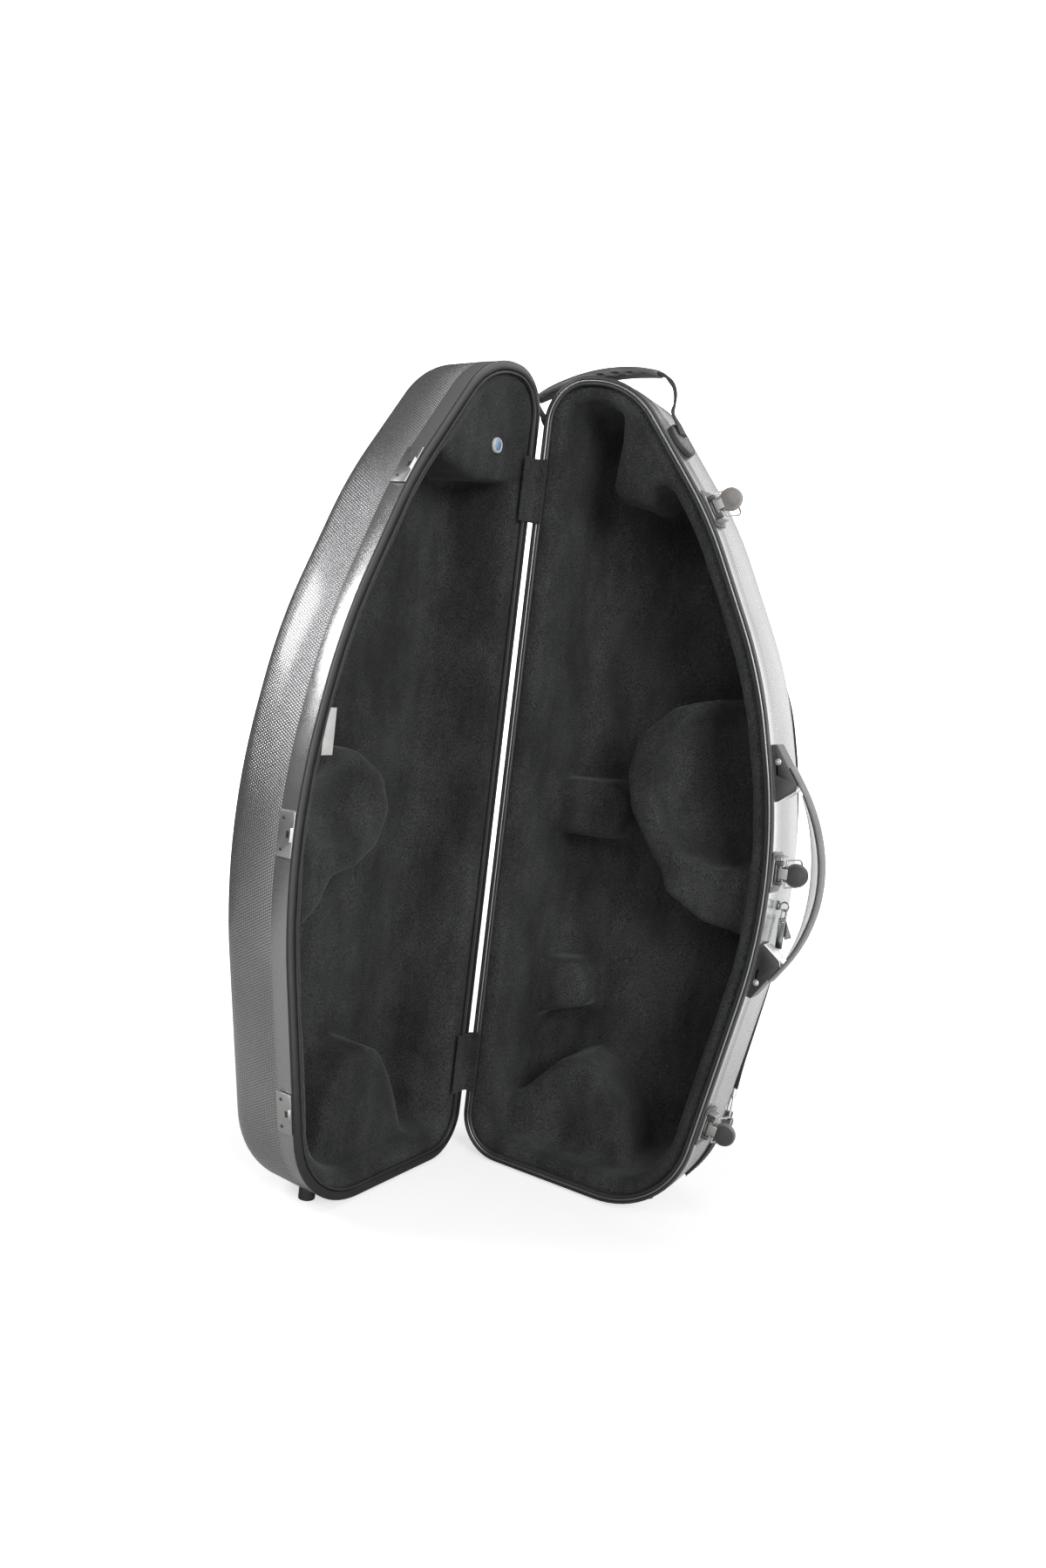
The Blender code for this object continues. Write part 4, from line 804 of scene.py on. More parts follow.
class HardwareSettings(bpy.types.PropertyGroup):
    round: length("Edge radius", "Rounding of metal edges", 0.0004, precision=5)
    rivet: length("Rivet radius", "Radius of the rivet heads", 0.0017, precision=5)
    steel: colour("Steel", "Tone of bare steel", (0.56, 0.56, 0.55))


class StrapSettings(bpy.types.PropertyGroup):
    weave: length("Weave pitch", "Width of a rib of the webbing", 0.0016, precision=5)
    dark: colour("Dark tone", "Tone between the threads", (0.008, 0.010, 0.010))
    light: colour("Light tone", "Tone of the threads", (0.060, 0.072, 0.069))


class StageSettings(bpy.types.PropertyGroup):
    key: FloatProperty(name="Key light", description="Power of the large soft light", default=50, min=0, unit="POWER")
    fill: FloatProperty(name="Fill light", description="Power of the fill light", default=12, min=0, unit="POWER")
    strip: FloatProperty(
        name="Strip light", description="Power of the light mirrored in the lid", default=11, min=0, unit="POWER")
    ambient: FloatProperty(name="Ambient", description="Strength of the pale surroundings", default=0.24, min=0)


# ---- operators ----

class CASE_OT_finishes(bpy.types.Operator):
    """Make the materials"""
    bl_idname = "saxcase.finishes"
    bl_label = "Finishes"

    def execute(self, context):
        scene = context.scene
        shell, plush, strap, steel = scene.case_shell, scene.case_plush, scene.case_strap, scene.case_hardware.steel
        honeycomb("dotted_silver", shell)
        brushed("drawn_silver", (0.30, 0.30, 0.305), (0.44, 0.44, 0.445), (0.20, 0.30), (1, 60, 1), True, 0.75)
        brushed("satin_steel", [c * 0.7 for c in steel], steel, (0.26, 0.38), (40, 40, 1), False)
        # Lighter finish for the base rim's bead strip: a painted highlight along the bead.
        brushed("bead_painted_highlight", (0.16, 0.16, 0.165), (0.26, 0.26, 0.265), (0.26, 0.36), (1, 60, 1), True)
        piled("plush", plush.dark, plush.light, plush.pile)
        woven("strap_weave", strap.dark, strap.light, strap.weave)
        woven("grey_weave", (0.030, 0.031, 0.033), (0.15, 0.152, 0.16), strap.weave)
        moulded("rim_black", (0.010, 0.010, 0.011), (0.018, 0.018, 0.019), (0.34, 0.46), 0.0008, 0.00004,
                (0.03, 0.03, 0.031))
        moulded("rim_gunmetal", (0.016, 0.017, 0.018), (0.030, 0.031, 0.032), (0.34, 0.46), 0.0007, 0.00004,
                (0.07, 0.07, 0.07), 0.1)
        moulded("black_rubber", (0.012, 0.012, 0.012), (0.022, 0.022, 0.022), (0.55, 0.75), 0.0006, 0.00008,
                (0.05, 0.05, 0.05))
        moulded("gunmetal", (0.020, 0.020, 0.020), (0.045, 0.044, 0.043), (0.34, 0.48), 0.0005, 0.00005,
                (0.18, 0.175, 0.17), 0.3)
        # Black of the brackets and lugs, also used as painted shade in the catch windows.
        moulded("bracket_black_and_window_shade", (0.011, 0.011, 0.012), (0.022, 0.022, 0.023), (0.34, 0.48), 0.0005, 0.00005,
                (0.08, 0.08, 0.08), 0.1)
        brushed("key_metal", (0.10, 0.11, 0.11), (0.30, 0.32, 0.31), (0.24, 0.36), (40, 40, 1), False)
        moulded("taupe_cap", (0.12, 0.110, 0.105), (0.19, 0.178, 0.17), (0.30, 0.45), 0.0006, 0.00005,
                (0.30, 0.28, 0.27), 0.3)
        moulded("dark_cap", (0.020, 0.020, 0.020), (0.045, 0.044, 0.043), (0.28, 0.42), 0.0006, 0.00005,
                (0.16, 0.155, 0.15), 0.3)
        moulded("taupe_wire", (0.16, 0.145, 0.135), (0.26, 0.24, 0.225), (0.25, 0.40), 0.0006, 0.00004,
                (0.45, 0.43, 0.41), 0.8)
        moulded("grey_claw", (0.13, 0.13, 0.125), (0.22, 0.22, 0.215), (0.28, 0.42), 0.0006, 0.00005,
                (0.40, 0.40, 0.39), 0.6)
        moulded("pale_plate", (0.50, 0.50, 0.49), (0.64, 0.64, 0.63), (0.26, 0.38), 0.0006, 0.00004,
                (0.75, 0.75, 0.74), 0.6)
        moulded("handle_strip", (0.15, 0.145, 0.150), (0.21, 0.205, 0.210), (0.45, 0.60), 0.0008, 0.00008,
                (0.30, 0.29, 0.30))
        moulded("handle_body", (0.62, 0.62, 0.62), (0.74, 0.74, 0.74), (0.36, 0.50), 0.0010, 0.00006,
                (0.82, 0.82, 0.82))
        # Black for the handle's seam, also used as painted shade in the anchor dimples.
        moulded("seam_black_and_dimple_shade", (0.008, 0.008, 0.008), (0.014, 0.014, 0.014), (0.60, 0.75), 0.0006, 0.00004)
        moulded("grip_rubber", (0.055, 0.056, 0.058), (0.105, 0.106, 0.110), (0.42, 0.58), 0.0009, 0.00012,
                (0.20, 0.20, 0.21))
        moulded("button_blue", (0.20, 0.31, 0.52), (0.30, 0.43, 0.66), (0.22, 0.34), 0.0008, 0.00004)
        moulded("button_white", (0.72, 0.72, 0.72), (0.80, 0.80, 0.80), (0.30, 0.42), 0.0008, 0.00004)
        moulded("label_cloth", (0.70, 0.70, 0.69), (0.82, 0.82, 0.81), (0.75, 0.9), 0.0005, 0.0001)
        return {"FINISHED"}


class CASE_OT_shells(bpy.types.Operator):
    """Make the two moulded shells"""
    bl_idname = "saxcase.shells"
    bl_label = "Shells"

    def execute(self, context):
        start = RIM_DEPTH + RIM_FACE + GAP
        step = 0.0009
        for half in ("base", "lid"):
            outer = wall_profile(half, 0, start)
            edge = [(SHELL_SETBACK, BAND_WIDTH - step), (SHELL_SETBACK + step / 2, BAND_WIDTH - step / 3),
                    (SHELL_SETBACK + step / 2, BAND_WIDTH + step / 3), (SHELL_SETBACK + step / 8, BAND_WIDTH + step)]
            outer[1:2] = edge
            inner = wall_profile(half, WALL, start, 6)
            rings = [ring(half, *point) for point in outer[::-1] + inner]
            dotted = len(outer) - 3
            strips = [0] * dotted + [1] * (len(rings) - 1 - dotted)
            made = mesh_object(half + "_moulded_shell", skin(rings, strips=strips),
                               [FINISHES["dotted_silver"], FINISHES["drawn_silver"]])
            dress(made, half + "_shell")
        return {"FINISHED"}


class CASE_OT_rims(bpy.types.Operator):
    """Make the rim profiles and the lid's seal"""
    bl_idname = "saxcase.rims"
    bl_label = "Rims"

    def execute(self, context):
        back = RIM_FACE + RIM_DEPTH
        proud = RIM_FACE
        low = RIM_FACE + 0.0008
        sections = {
            "base": ([(0, back), (0, proud + 0.0010), (0.0003, proud + 0.0004), (0.0010, proud), (0.0026, proud),
                      (0.0031, low), (0.0034, proud + 0.0003), (0.0040, proud), (0.0050, proud),
                      (0.0056, proud + 0.0003), (0.0059, low), (0.0064, proud), (0.0080, proud),
                      (0.0087, proud + 0.0004), (0.0090, proud + 0.0010), (RIM_WIDTH, back)], range(5, 10), "rim_gunmetal"),
            "lid": ([(0, back), (0, proud + 0.0011), (0.0004, proud + 0.0004), (0.0012, proud), (0.0074, proud),
                     (0.0084, proud + 0.0003), (0.0089, proud + 0.0010), (RIM_WIDTH, back)], (), "rim_black"),
        }
        # The base rim's bead rings get the lighter bead finish, which paints a highlight along the bead.
        for half, (profile, highlight_rings, finish) in sections.items():
            rings = [ring(half, *point) for point in profile]
            strips = [1 if k in highlight_rings else 0 for k in range(len(rings))]
            made = mesh_object(half + "_rim_profile", skin(rings, True, strips),
                               [FINISHES[finish], FINISHES["bead_painted_highlight"]], 50)
            dress(made, half + "_rim")
        refined("lid_seal", FINISHES["black_rubber"], 0.0003)
        return {"FINISHED"}


class CASE_OT_plush(bpy.types.Operator):
    """Make the plush-covered foam of each half"""
    bl_idname = "saxcase.plush"
    bl_label = "Plush"

    def block(self, half, shape, top, dish):
        floor = DEPTH[half] - WALL - FLOOR_FOAM
        rings = [[place(half, x, depth, z) for x, z in shape] for depth in (top, floor + 0.006)]
        made = mesh_object("foam", skin(rings), [])
        step = made.modifiers.new("round", "BEVEL")
        step.width = 0.008
        step.segments = 3
        step.limit_method = "ANGLE"
        step.angle_limit = math.radians(50)
        settle(made)
        if dish:
            (x, depth, z), radii = dish
            bm = bmesh.new()
            bmesh.ops.create_uvsphere(bm, u_segments=40, v_segments=24, radius=1)
            spread_by = radii if half == "base" else (radii[1], radii[0], radii[2])
            bm.transform(Matrix.Translation(place(half, x, depth, z)) @ Matrix.Diagonal((*spread_by, 1)))
            combine(made, mesh_object("dish", bm, []), "DIFFERENCE")
        inside = [(0.0170, LEDGE_DEPTH + 0.0005), (0.0170, 0.050), (0.0300, floor - 0.008), (0.0400, floor + 0.003)]
        core = mesh_object("core", skin([ring(half, *point) for point in inside]), [])
        return combine(made, core, "INTERSECT")

    def execute(self, context):
        settings = context.scene.case_plush
        for half, blocks in FOAM_BLOCKS.items():
            behind_rim = RIM_FACE + RIM_DEPTH + 2 * GAP
            outer = wall_profile(half, WALL + GAP, behind_rim)
            profile = outer[::-1] + [(RIM_WIDTH + GAP, behind_rim)] + lining_profile(half)
            bm = skin([ring(half, *point) for point in profile])
            for shape, top, dish in blocks.values():
                foam = self.block(half, shape, top, dish)
                bm.from_mesh(foam.data)
                bpy.data.objects.remove(foam, do_unlink=True)
            made = mesh_object(half + "_plush_foam", bm, [])
            step = made.modifiers.new("knit", "REMESH")
            step.mode = "VOXEL"
            step.voxel_size = settings.voxel * 1
            soften = made.modifiers.new("soften", "SMOOTH")
            soften.factor = 0.5
            soften.iterations = settings.softness // 1
            settle(made)
            normals = [vertex.normal.copy() for vertex in made.data.vertices]
            for vertex, normal in zip(made.data.vertices, normals):
                swell = noise.noise(vertex.co * 22) * 0.0009 + noise.noise(vertex.co * 70) * 0.0003
                vertex.co += normal * swell
            made.data.materials.clear()
            made.data.materials.append(FINISHES["plush"])
            made.data.shade_smooth()
            dress(made, half + "_lining", *blocks)
        return {"FINISHED"}


class CASE_OT_hinges(bpy.types.Operator):
    """Make the hinge leaves, pins and velvet covers"""
    bl_idname = "saxcase.hinges"
    bl_label = "Hinges"

    def execute(self, context):
        steel = FINISHES["satin_steel"]
        for label, height in HINGE_HEIGHTS.items():
            for node in ("base_hinge_leaf_", "lid_hinge_leaf_", "hinge_pin_"):
                refined(node + label, steel, 0.0001)
            lift, knuckle = 0.0009, 0.0033
            path = [(0.0125, -lift), (0.0090, -lift - 0.0001), (0.0060, -lift - 0.0001), (0.0036, -lift - 0.0006)]
            for k in range(1, 6):
                angle = -math.pi / 2 * k / 6
                path.append((math.cos(angle) * knuckle, math.sin(angle) * knuckle))
            path += [(lift + 0.0006, -0.0036), (lift + 0.0001, -0.0060), (lift + 0.0001, -0.0120),
                     (lift + 0.0001, -0.0180), (lift, -0.0235)]
            rings = []
            for i, (x, y) in enumerate(path):
                before, after = path[max(i - 1, 0)], path[min(i + 1, len(path) - 1)]
                along = Vector((after[0] - before[0], after[1] - before[1], 0)).normalized()
                out = Vector((0, 0, 1)).cross(along)
                centre = ORIGIN + Vector((x, y, height))
                fold = 0.0004 * math.sin(i * 1.7)
                shape = section(HINGE_LENGTH + 0.0035 + fold, 0.0013, 0.0006)
                rings.append([centre + Vector((0, 0, a)) + out * b for a, b in shape])
            cover = mesh_object("hinge_velvet_" + label, skin(rings), [FINISHES["plush"]])
            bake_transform(cover)
            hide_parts("hinge_cover_" + label)
        return {"FINISHED"}


class CASE_OT_latches(bpy.types.Operator):
    """Make the latch plates, levers, thumb caps and wire bails"""
    bl_idname = "saxcase.latches"
    bl_label = "Latches"

    def execute(self, context):
        width = context.scene.case_hardware.round
        ends = {"upper": -1, "middle": 1, "lower": 1}
        caps = {"upper": "taupe_cap", "middle": "dark_cap", "lower": "dark_cap"}
        rivets = []
        for label, height in LATCH_HEIGHTS.items():
            seat = station(height)
            refined("latch_plate_" + label, FINISHES["gunmetal"], width)
            slit = rounded_box("latch_slit_" + label, (PLATE_FACE - 0.0002, 0.0020, -0.0125),
                               (PLATE_FACE + 0.0003, 0.0030, 0.0125), seat, 0.0002, [FINISHES["pale_plate"]])
            dress(slit, body="base", slot="latch")
            low, high = sorted((ends[label] * 0.0152, ends[label] * 0.0166))
            wing = rounded_box("latch_end_plate_" + label, (0.0014, 0.0030, low), (0.0105, 0.0150, high), seat,
                               0.0006, [FINISHES["grey_claw"]])
            dress(wing, body="base", slot="latch")
            out = seat.to_3x3() @ Vector((1, 0, 0))
            rivets += [(seat @ Vector((PLATE_FACE, 0.0200, z)), out) for z in (-0.012, 0.012)]

            pin = Matrix.Translation((LATCH_PIN_HEIGHT, LATCH_PIN_DEPTH, 0))
            turn = seat @ pin @ Matrix.Rotation(LEVER_LEAN, 4, "Z")
            refined("latch_lever_" + label, FINISHES["gunmetal"], width * 1.5)
            face = turn @ Matrix.Translation((TAB_REACH, 0, 0)) @ Matrix.Rotation(math.radians(90), 4, "X")
            top = TAB_THICKNESS / 2
            profile = [(0, top - 0.0006), (TAB_RADIUS - 0.0009, top - 0.0006), (TAB_RADIUS - 0.0004, top + 0.0004),
                       (TAB_RADIUS - 0.0011, top + 0.0010), (TAB_RADIUS - 0.0030, top + 0.0013),
                       (0.0040, top + 0.0017), (0, top + 0.0018)]
            cap = lathe("latch_thumb_cap_" + label, profile, face, [FINISHES[caps[label]]])
            dress(cap, body="lever_" + label, slot="latch")
            claw = rounded_box("latch_claw_" + label, (-0.0010, -0.0036, -0.0050), (0.0078, -0.0012, 0.0050), turn,
                               0.0007, [FINISHES["grey_claw"]])
            dress(claw, body="lever_" + label, slot="latch")

            swing = turn @ Matrix.Translation((BAIL_PIN_REACH, 0, 0)) @ Matrix.Rotation(BAIL_LEAN - LEVER_LEAN, 4, "Z")
            half, reach, corner = 0.0128, 0.0218, 0.0060
            side = [(0, 0, 0.0040), (0, 0, half - 0.0010), (0.0003, 0, half - 0.0003), (0.0010, 0, half)]
            for k in range(9):
                angle = math.pi / 2 * k / 8
                side.append((reach - corner + corner * math.sin(angle), 0, half - corner + corner * math.cos(angle)))
            points = side + [(x, y, -z) for x, y, z in side[::-1]]
            points = [swing @ Vector(p) for p in points]
            bail = tube("latch_wire_bail_" + label, points, 0.0009, [FINISHES["taupe_wire"]])
            dress(bail, "latch_bail_" + label)
        heads = studs("latch_rivets", rivets, context.scene.case_hardware.rivet, 0.0008, FINISHES["satin_steel"])
        dress(heads, body="base", slot="steel")
        return {"FINISHED"}


class CASE_OT_catches(bpy.types.Operator):
    """Make the catch plates on the lid"""
    bl_idname = "saxcase.catches"
    bl_label = "Catches"

    def execute(self, context):
        rivets = []
        for label, height in LATCH_HEIGHTS.items():
            seat = station(height, "lid")
            refined("catch_plate_" + label, FINISHES["satin_steel"], context.scene.case_hardware.round)
            # Painted shade: a dark inset on the catch plate stands in for the shade in its window.
            window_shade = rounded_box("catch_window_shade_" + label, (CATCH_FACE - 0.0004, -0.0105, -0.0030),
                                 (CATCH_FACE + 0.0002, -0.0060, 0.0030), seat, 0.0002, [FINISHES["bracket_black_and_window_shade"]])
            dress(window_shade, body="lid", slot="catch")
            out = seat.to_3x3() @ Vector((1, 0, 0))
            rivets += [(seat @ Vector((CATCH_FACE, -0.0145, z)), out) for z in (-0.0135, 0.0135)]
        heads = studs("catch_rivets", rivets, context.scene.case_hardware.rivet, 0.0009, FINISHES["gunmetal"])
        dress(heads, body="lid", slot="catch")
        return {"FINISHED"}


class CASE_OT_side_handle(bpy.types.Operator):
    """Make the side handle with its strip, seam, body, brackets and rivets"""
    bl_idname = "saxcase.side_handle"
    bl_label = "Side handle"

    def bracket_frame(self, near, direction):
        middle = near + direction * BRACKET_LENGTH / 2
        return station(middle) @ Matrix.Translation((0, 0, -direction * BRACKET_LENGTH / 2))

    def strip_line(self, near, direction):
        seat = self.bracket_frame(near, direction)
        apex = seat @ Vector((BRACKET_NOSE[0], 0, direction * BRACKET_NOSE[1]))
        tip = seat @ Vector((BRACKET_TIP, 0, direction * BRACKET_LENGTH))
        along = (apex - tip).normalized()
        outward = Vector((along.z, 0, -along.x)) * -direction
        lifted = apex + outward * GAP
        return lifted - along * HANDLE_LAP, lifted, along, outward

    def execute(self, context):
        end, top, leave, rise = self.strip_line(HANDLE_TOP, 1)
        end_low, bottom, arrive, rise_low = self.strip_line(HANDLE_BOTTOM, -1)
        first, last = top + rise * STRIP_THICKNESS, bottom + rise_low * STRIP_THICKNESS
        control = (first, first + leave * HANDLE_BULGE, last + arrive * HANDLE_BULGE, last)
        across = Vector((0, HANDLE_FROM + HANDLE_WIDTH / 2, 0))
        strip, seam, body = [], [], []
        for point, normal in ((end, rise), ((end + top) / 2, rise)):
            strip.append((point + normal * STRIP_THICKNESS / 2 + across, normal, HANDLE_WIDTH, STRIP_THICKNESS))
        steps = 36
        for k in range(steps + 1):
            t = k / steps
            weights = ((1 - t) ** 3, 3 * t * (1 - t) ** 2, 3 * t * t * (1 - t), t ** 3)
            point = sum((c * w for c, w in zip(control, weights)), Vector())
            slopes = (-(1 - t) ** 2, (1 - t) * (1 - 3 * t), t * (2 - 3 * t), t * t)
            ahead = sum((c * w for c, w in zip(control, slopes)), Vector()).normalized()
            outward = Vector((-ahead.z, 0, ahead.x))
            full = STRIP_THICKNESS + (HANDLE_THICKNESS - STRIP_THICKNESS) * math.sin(math.pi * t)
            strip.append((point - outward * STRIP_THICKNESS / 2 + across, outward, HANDLE_WIDTH, STRIP_THICKNESS))
            depth = full - STRIP_THICKNESS
            if depth > 0.0014:
                middle = point - outward * (STRIP_THICKNESS + 0.0002) + across
                seam.append((middle, outward, HANDLE_WIDTH - 0.0008, 0.0009))
                inner = depth - 0.0005
                middle = point - outward * (STRIP_THICKNESS + 0.0005 + inner / 2) + across
                body.append((middle, outward, HANDLE_WIDTH - 0.0002, inner))
        for point, normal in (((end_low + bottom) / 2, rise_low), (end_low, rise_low)):
            strip.append((point + normal * STRIP_THICKNESS / 2 + across, normal, HANDLE_WIDTH, STRIP_THICKNESS))
        dress(band("side_handle_strip", strip, 0.0011, [FINISHES["handle_strip"]]), "side_handle")
        dress(band("side_handle_seam", seam, 0.0003, [FINISHES["seam_black_and_dimple_shade"]]), body="side_handle", slot="handle")
        dress(band("side_handle_body", body, 0.0024, [FINISHES["handle_body"]]), body="side_handle", slot="handle")
        for label, near, direction in (("upper", HANDLE_TOP, 1), ("lower", HANDLE_BOTTOM, -1)):
            refined("handle_bracket_" + label, FINISHES["bracket_black_and_window_shade"], 0.0005)
            seat = self.bracket_frame(near, direction)
            low, high = BRACKET_FROM + 0.0008, BRACKET_FROM + BRACKET_WIDTH - 0.0008
            line = [(0.0010, -0.0005), (BRACKET_CORNER[0] - 0.0010, BRACKET_CORNER[1] - 0.0010),
                    (BRACKET_CORNER[0] + 0.0004, BRACKET_CORNER[1] - 0.0003),
                    (BRACKET_NOSE[0] + 0.0003, BRACKET_NOSE[1] - 0.0012)]
            rows = []
            for x, z in line:
                point = seat @ Vector((x, (low + high) / 2, direction * z))
                rows.append((point, (seat.to_3x3() @ Vector((1, 0, -direction))).normalized(), high - low, 0.0008))
            cover = band("handle_bracket_face_" + label, rows, 0.0003, [FINISHES["pale_plate"]])
            dress(cover, body="base", slot="bracket")
            from_corner = direction * (BRACKET_LENGTH - RIVET_FROM_TIP)
            spot = seat @ Matrix.Translation((RIVET_HEIGHT, BRACKET_FROM - 0.0001, from_corner))
            profile = [(0, -0.0004), (0.0029, -0.0004), (0.0029, 0.0004), (0.0024, 0.0009), (0.0019, 0.0009),
                       (0.0017, 0.0006), (0.0015, 0.0006), (0.0013, 0.0013), (0.0007, 0.0016), (0, 0.0016)]
            head = lathe("handle_rivet_head_" + label, profile, spot @ Matrix.Rotation(math.radians(90), 4, "X"),
                         [FINISHES["satin_steel"]])
            dress(head, "handle_rivet_" + label)
        return {"FINISHED"}


class CASE_OT_top_handle(bpy.types.Operator):
    """Make the moulded grip, its webbing and anchors"""
    bl_idname = "saxcase.top_handle"
    bl_label = "Top handle"

    def execute(self, context):
        grip = []
        count = 40
        up = Vector((0, 0, 1))
        for k in range(count + 1):
            t = k / count
            x = GRIP_FROM + (GRIP_TO - GRIP_FROM) * t
            thick = GRIP_END_THICKNESS + (GRIP_THICKNESS - GRIP_END_THICKNESS) * math.sin(math.pi * t)
            top = CASE_LENGTH + GRIP_PEAK_RISE - GRIP_BOW * (x - GRIP_PEAK_X) ** 2
            slope = -2 * GRIP_BOW * (x - GRIP_PEAK_X)
            normal = Vector((-slope, 0, 1)).normalized()
            taper = min(1, 0.72 + 2.2 * min(t, 1 - t))
            grip.append((place("base", x, GRIP_DEPTH, top - thick / 2), normal, GRIP_WIDTH * taper, thick))
        made = band("top_handle_moulding", grip, 0.0034, [FINISHES["grip_rubber"]])
        for x in (0.052, 0.068, 0.084, 0.099, -0.012):
            top = CASE_LENGTH + GRIP_PEAK_RISE - GRIP_BOW * (x - GRIP_PEAK_X) ** 2
            bm = bmesh.new()
            bmesh.ops.create_uvsphere(bm, u_segments=20, v_segments=12, radius=1)
            centre = place("base", x, GRIP_DEPTH - GRIP_WIDTH / 2, top - 0.0072)
            bm.transform(Matrix.Translation(centre) @ Matrix.Diagonal((0.0050, 0.0034, 0.0019, 1)))
            combine(made, mesh_object("cut", bm, []), "DIFFERENCE")
        made.data.materials.clear()
        made.data.materials.append(FINISHES["grip_rubber"])
        dress(made, "top_handle_grip")

        seats = {}
        for label, (drop, outer) in ANCHOR_DROPS.items():
            z = CASE_LENGTH - drop
            x, angle = wall_crossing(z, SHELL_SETBACK, outer)
            outward = Vector((math.cos(angle), 0, math.sin(angle)))
            foot = place("base", x, GRIP_DEPTH, z)
            face = foot + outward * ANCHOR_THICKNESS
            seats[label] = (face, outward)
            refined("grip_anchor_" + label, FINISHES["black_rubber"], 0.0012)
            turn = Matrix.Translation(face) @ outward.to_track_quat("Z", "Y").to_matrix().to_4x4()
            profile = [(0, -0.0008), (0.0140, -0.0008), (0.0140, 0.0001), (0.0132, 0.0003), (0.0124, 0.0001),
                       (0.0100, 0.0001), (0, 0.0001)]
            disc = lathe("grip_anchor_face_" + label, profile, turn, [FINISHES["grip_rubber"]])
            dress(disc, body="base", slot="rubber")
            # Painted shade: dark studs on the anchor face stand in for the shade in its dimples.
            spots = []
            for k in range(10):
                angle = 2 * math.pi * k / 10
                spots.append((turn @ Vector((math.cos(angle) * 0.0112, math.sin(angle) * 0.0112, 0.0001)), outward))
            dimple_shade = studs("grip_anchor_dimples_" + label, spots, 0.0009, 0.00025, FINISHES["seam_black_and_dimple_shade"])
            dress(dimple_shade, body="base", slot="rubber")

        start, start_out = seats["hinge_side"]
        stop, stop_out = seats["slope_side"]
        rest = WEBBING_THICKNESS / 2 + GAP
        first, second = grip[0][0], grip[3][0]
        left = [start + start_out * rest - up * 0.004, start + start_out * rest + up * 0.012,
                start + start_out * 0.010 + up * 0.024, first + Vector((0.0085, 0, -0.016)),
                first + (first - second).normalized() * 0.003, second]
        along = Vector((-stop_out.z, 0, stop_out.x))
        last, before = grip[-1][0], grip[-4][0]
        right = [before, last + (last - before).normalized() * 0.003]
        right += [place("base", x, GRIP_DEPTH, CASE_LENGTH + z) for x, z in WEBBING_LOOP]
        right += [stop + stop_out * (rest + 0.0012) + along * 0.0165, stop + stop_out * rest + along * 0.004]
        for label, points, twist in (("hinge_side", left[::-1], 0.12), ("slope_side", right, 0.55)):
            rows = []
            fine = [Vector(p) for p in eased(points, 5)]
            for i, point in enumerate(fine):
                ahead = fine[min(i + 1, len(fine) - 1)] - fine[max(i - 1, 0)]
                normal = ahead.cross(Vector((0, 1, 0))).normalized()
                t = i / (len(fine) - 1)
                lean = twist * math.sin(math.pi * t) ** 2
                normal = (normal * math.cos(lean) + Vector((0, 1, 0)) * math.sin(lean)).normalized()
                pinch = 1 - 0.28 * math.sin(math.pi * t) * (twist > 0.3)
                rows.append((point, normal, WEBBING_WIDTH * pinch, WEBBING_THICKNESS * (1 + 0.5 * (1 - pinch))))
            web = band("top_handle_web_" + label, rows, 0.0009, [FINISHES["grey_weave"]])
            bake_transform(web)
            if label == "slope_side":
                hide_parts("top_handle_webbing")
        return {"FINISHED"}


class CASE_OT_keys(bpy.types.Operator):
    """Make the key eye, ring and keys"""
    bl_idname = "saxcase.keys"
    bl_label = "Key set"

    def execute(self, context):
        steel = FINISHES["key_metal"]
        refined("key_eye", steel, 0.0002)
        low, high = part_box("key_ring")
        centre = (low + high) / 2
        radius = (high.z - low.z) / 2 - 0.0007
        turns = [2 * math.pi * k / 48 for k in range(48)]
        points = [centre + Vector((0, math.cos(a), math.sin(a))) * radius for a in turns]
        dress(tube("key_split_ring", points, 0.0007, [steel], closed=True), "key_ring")
        for node in ("case_key", "case_key_spare"):
            refined(node, steel, 0.0003)
        return {"FINISHED"}


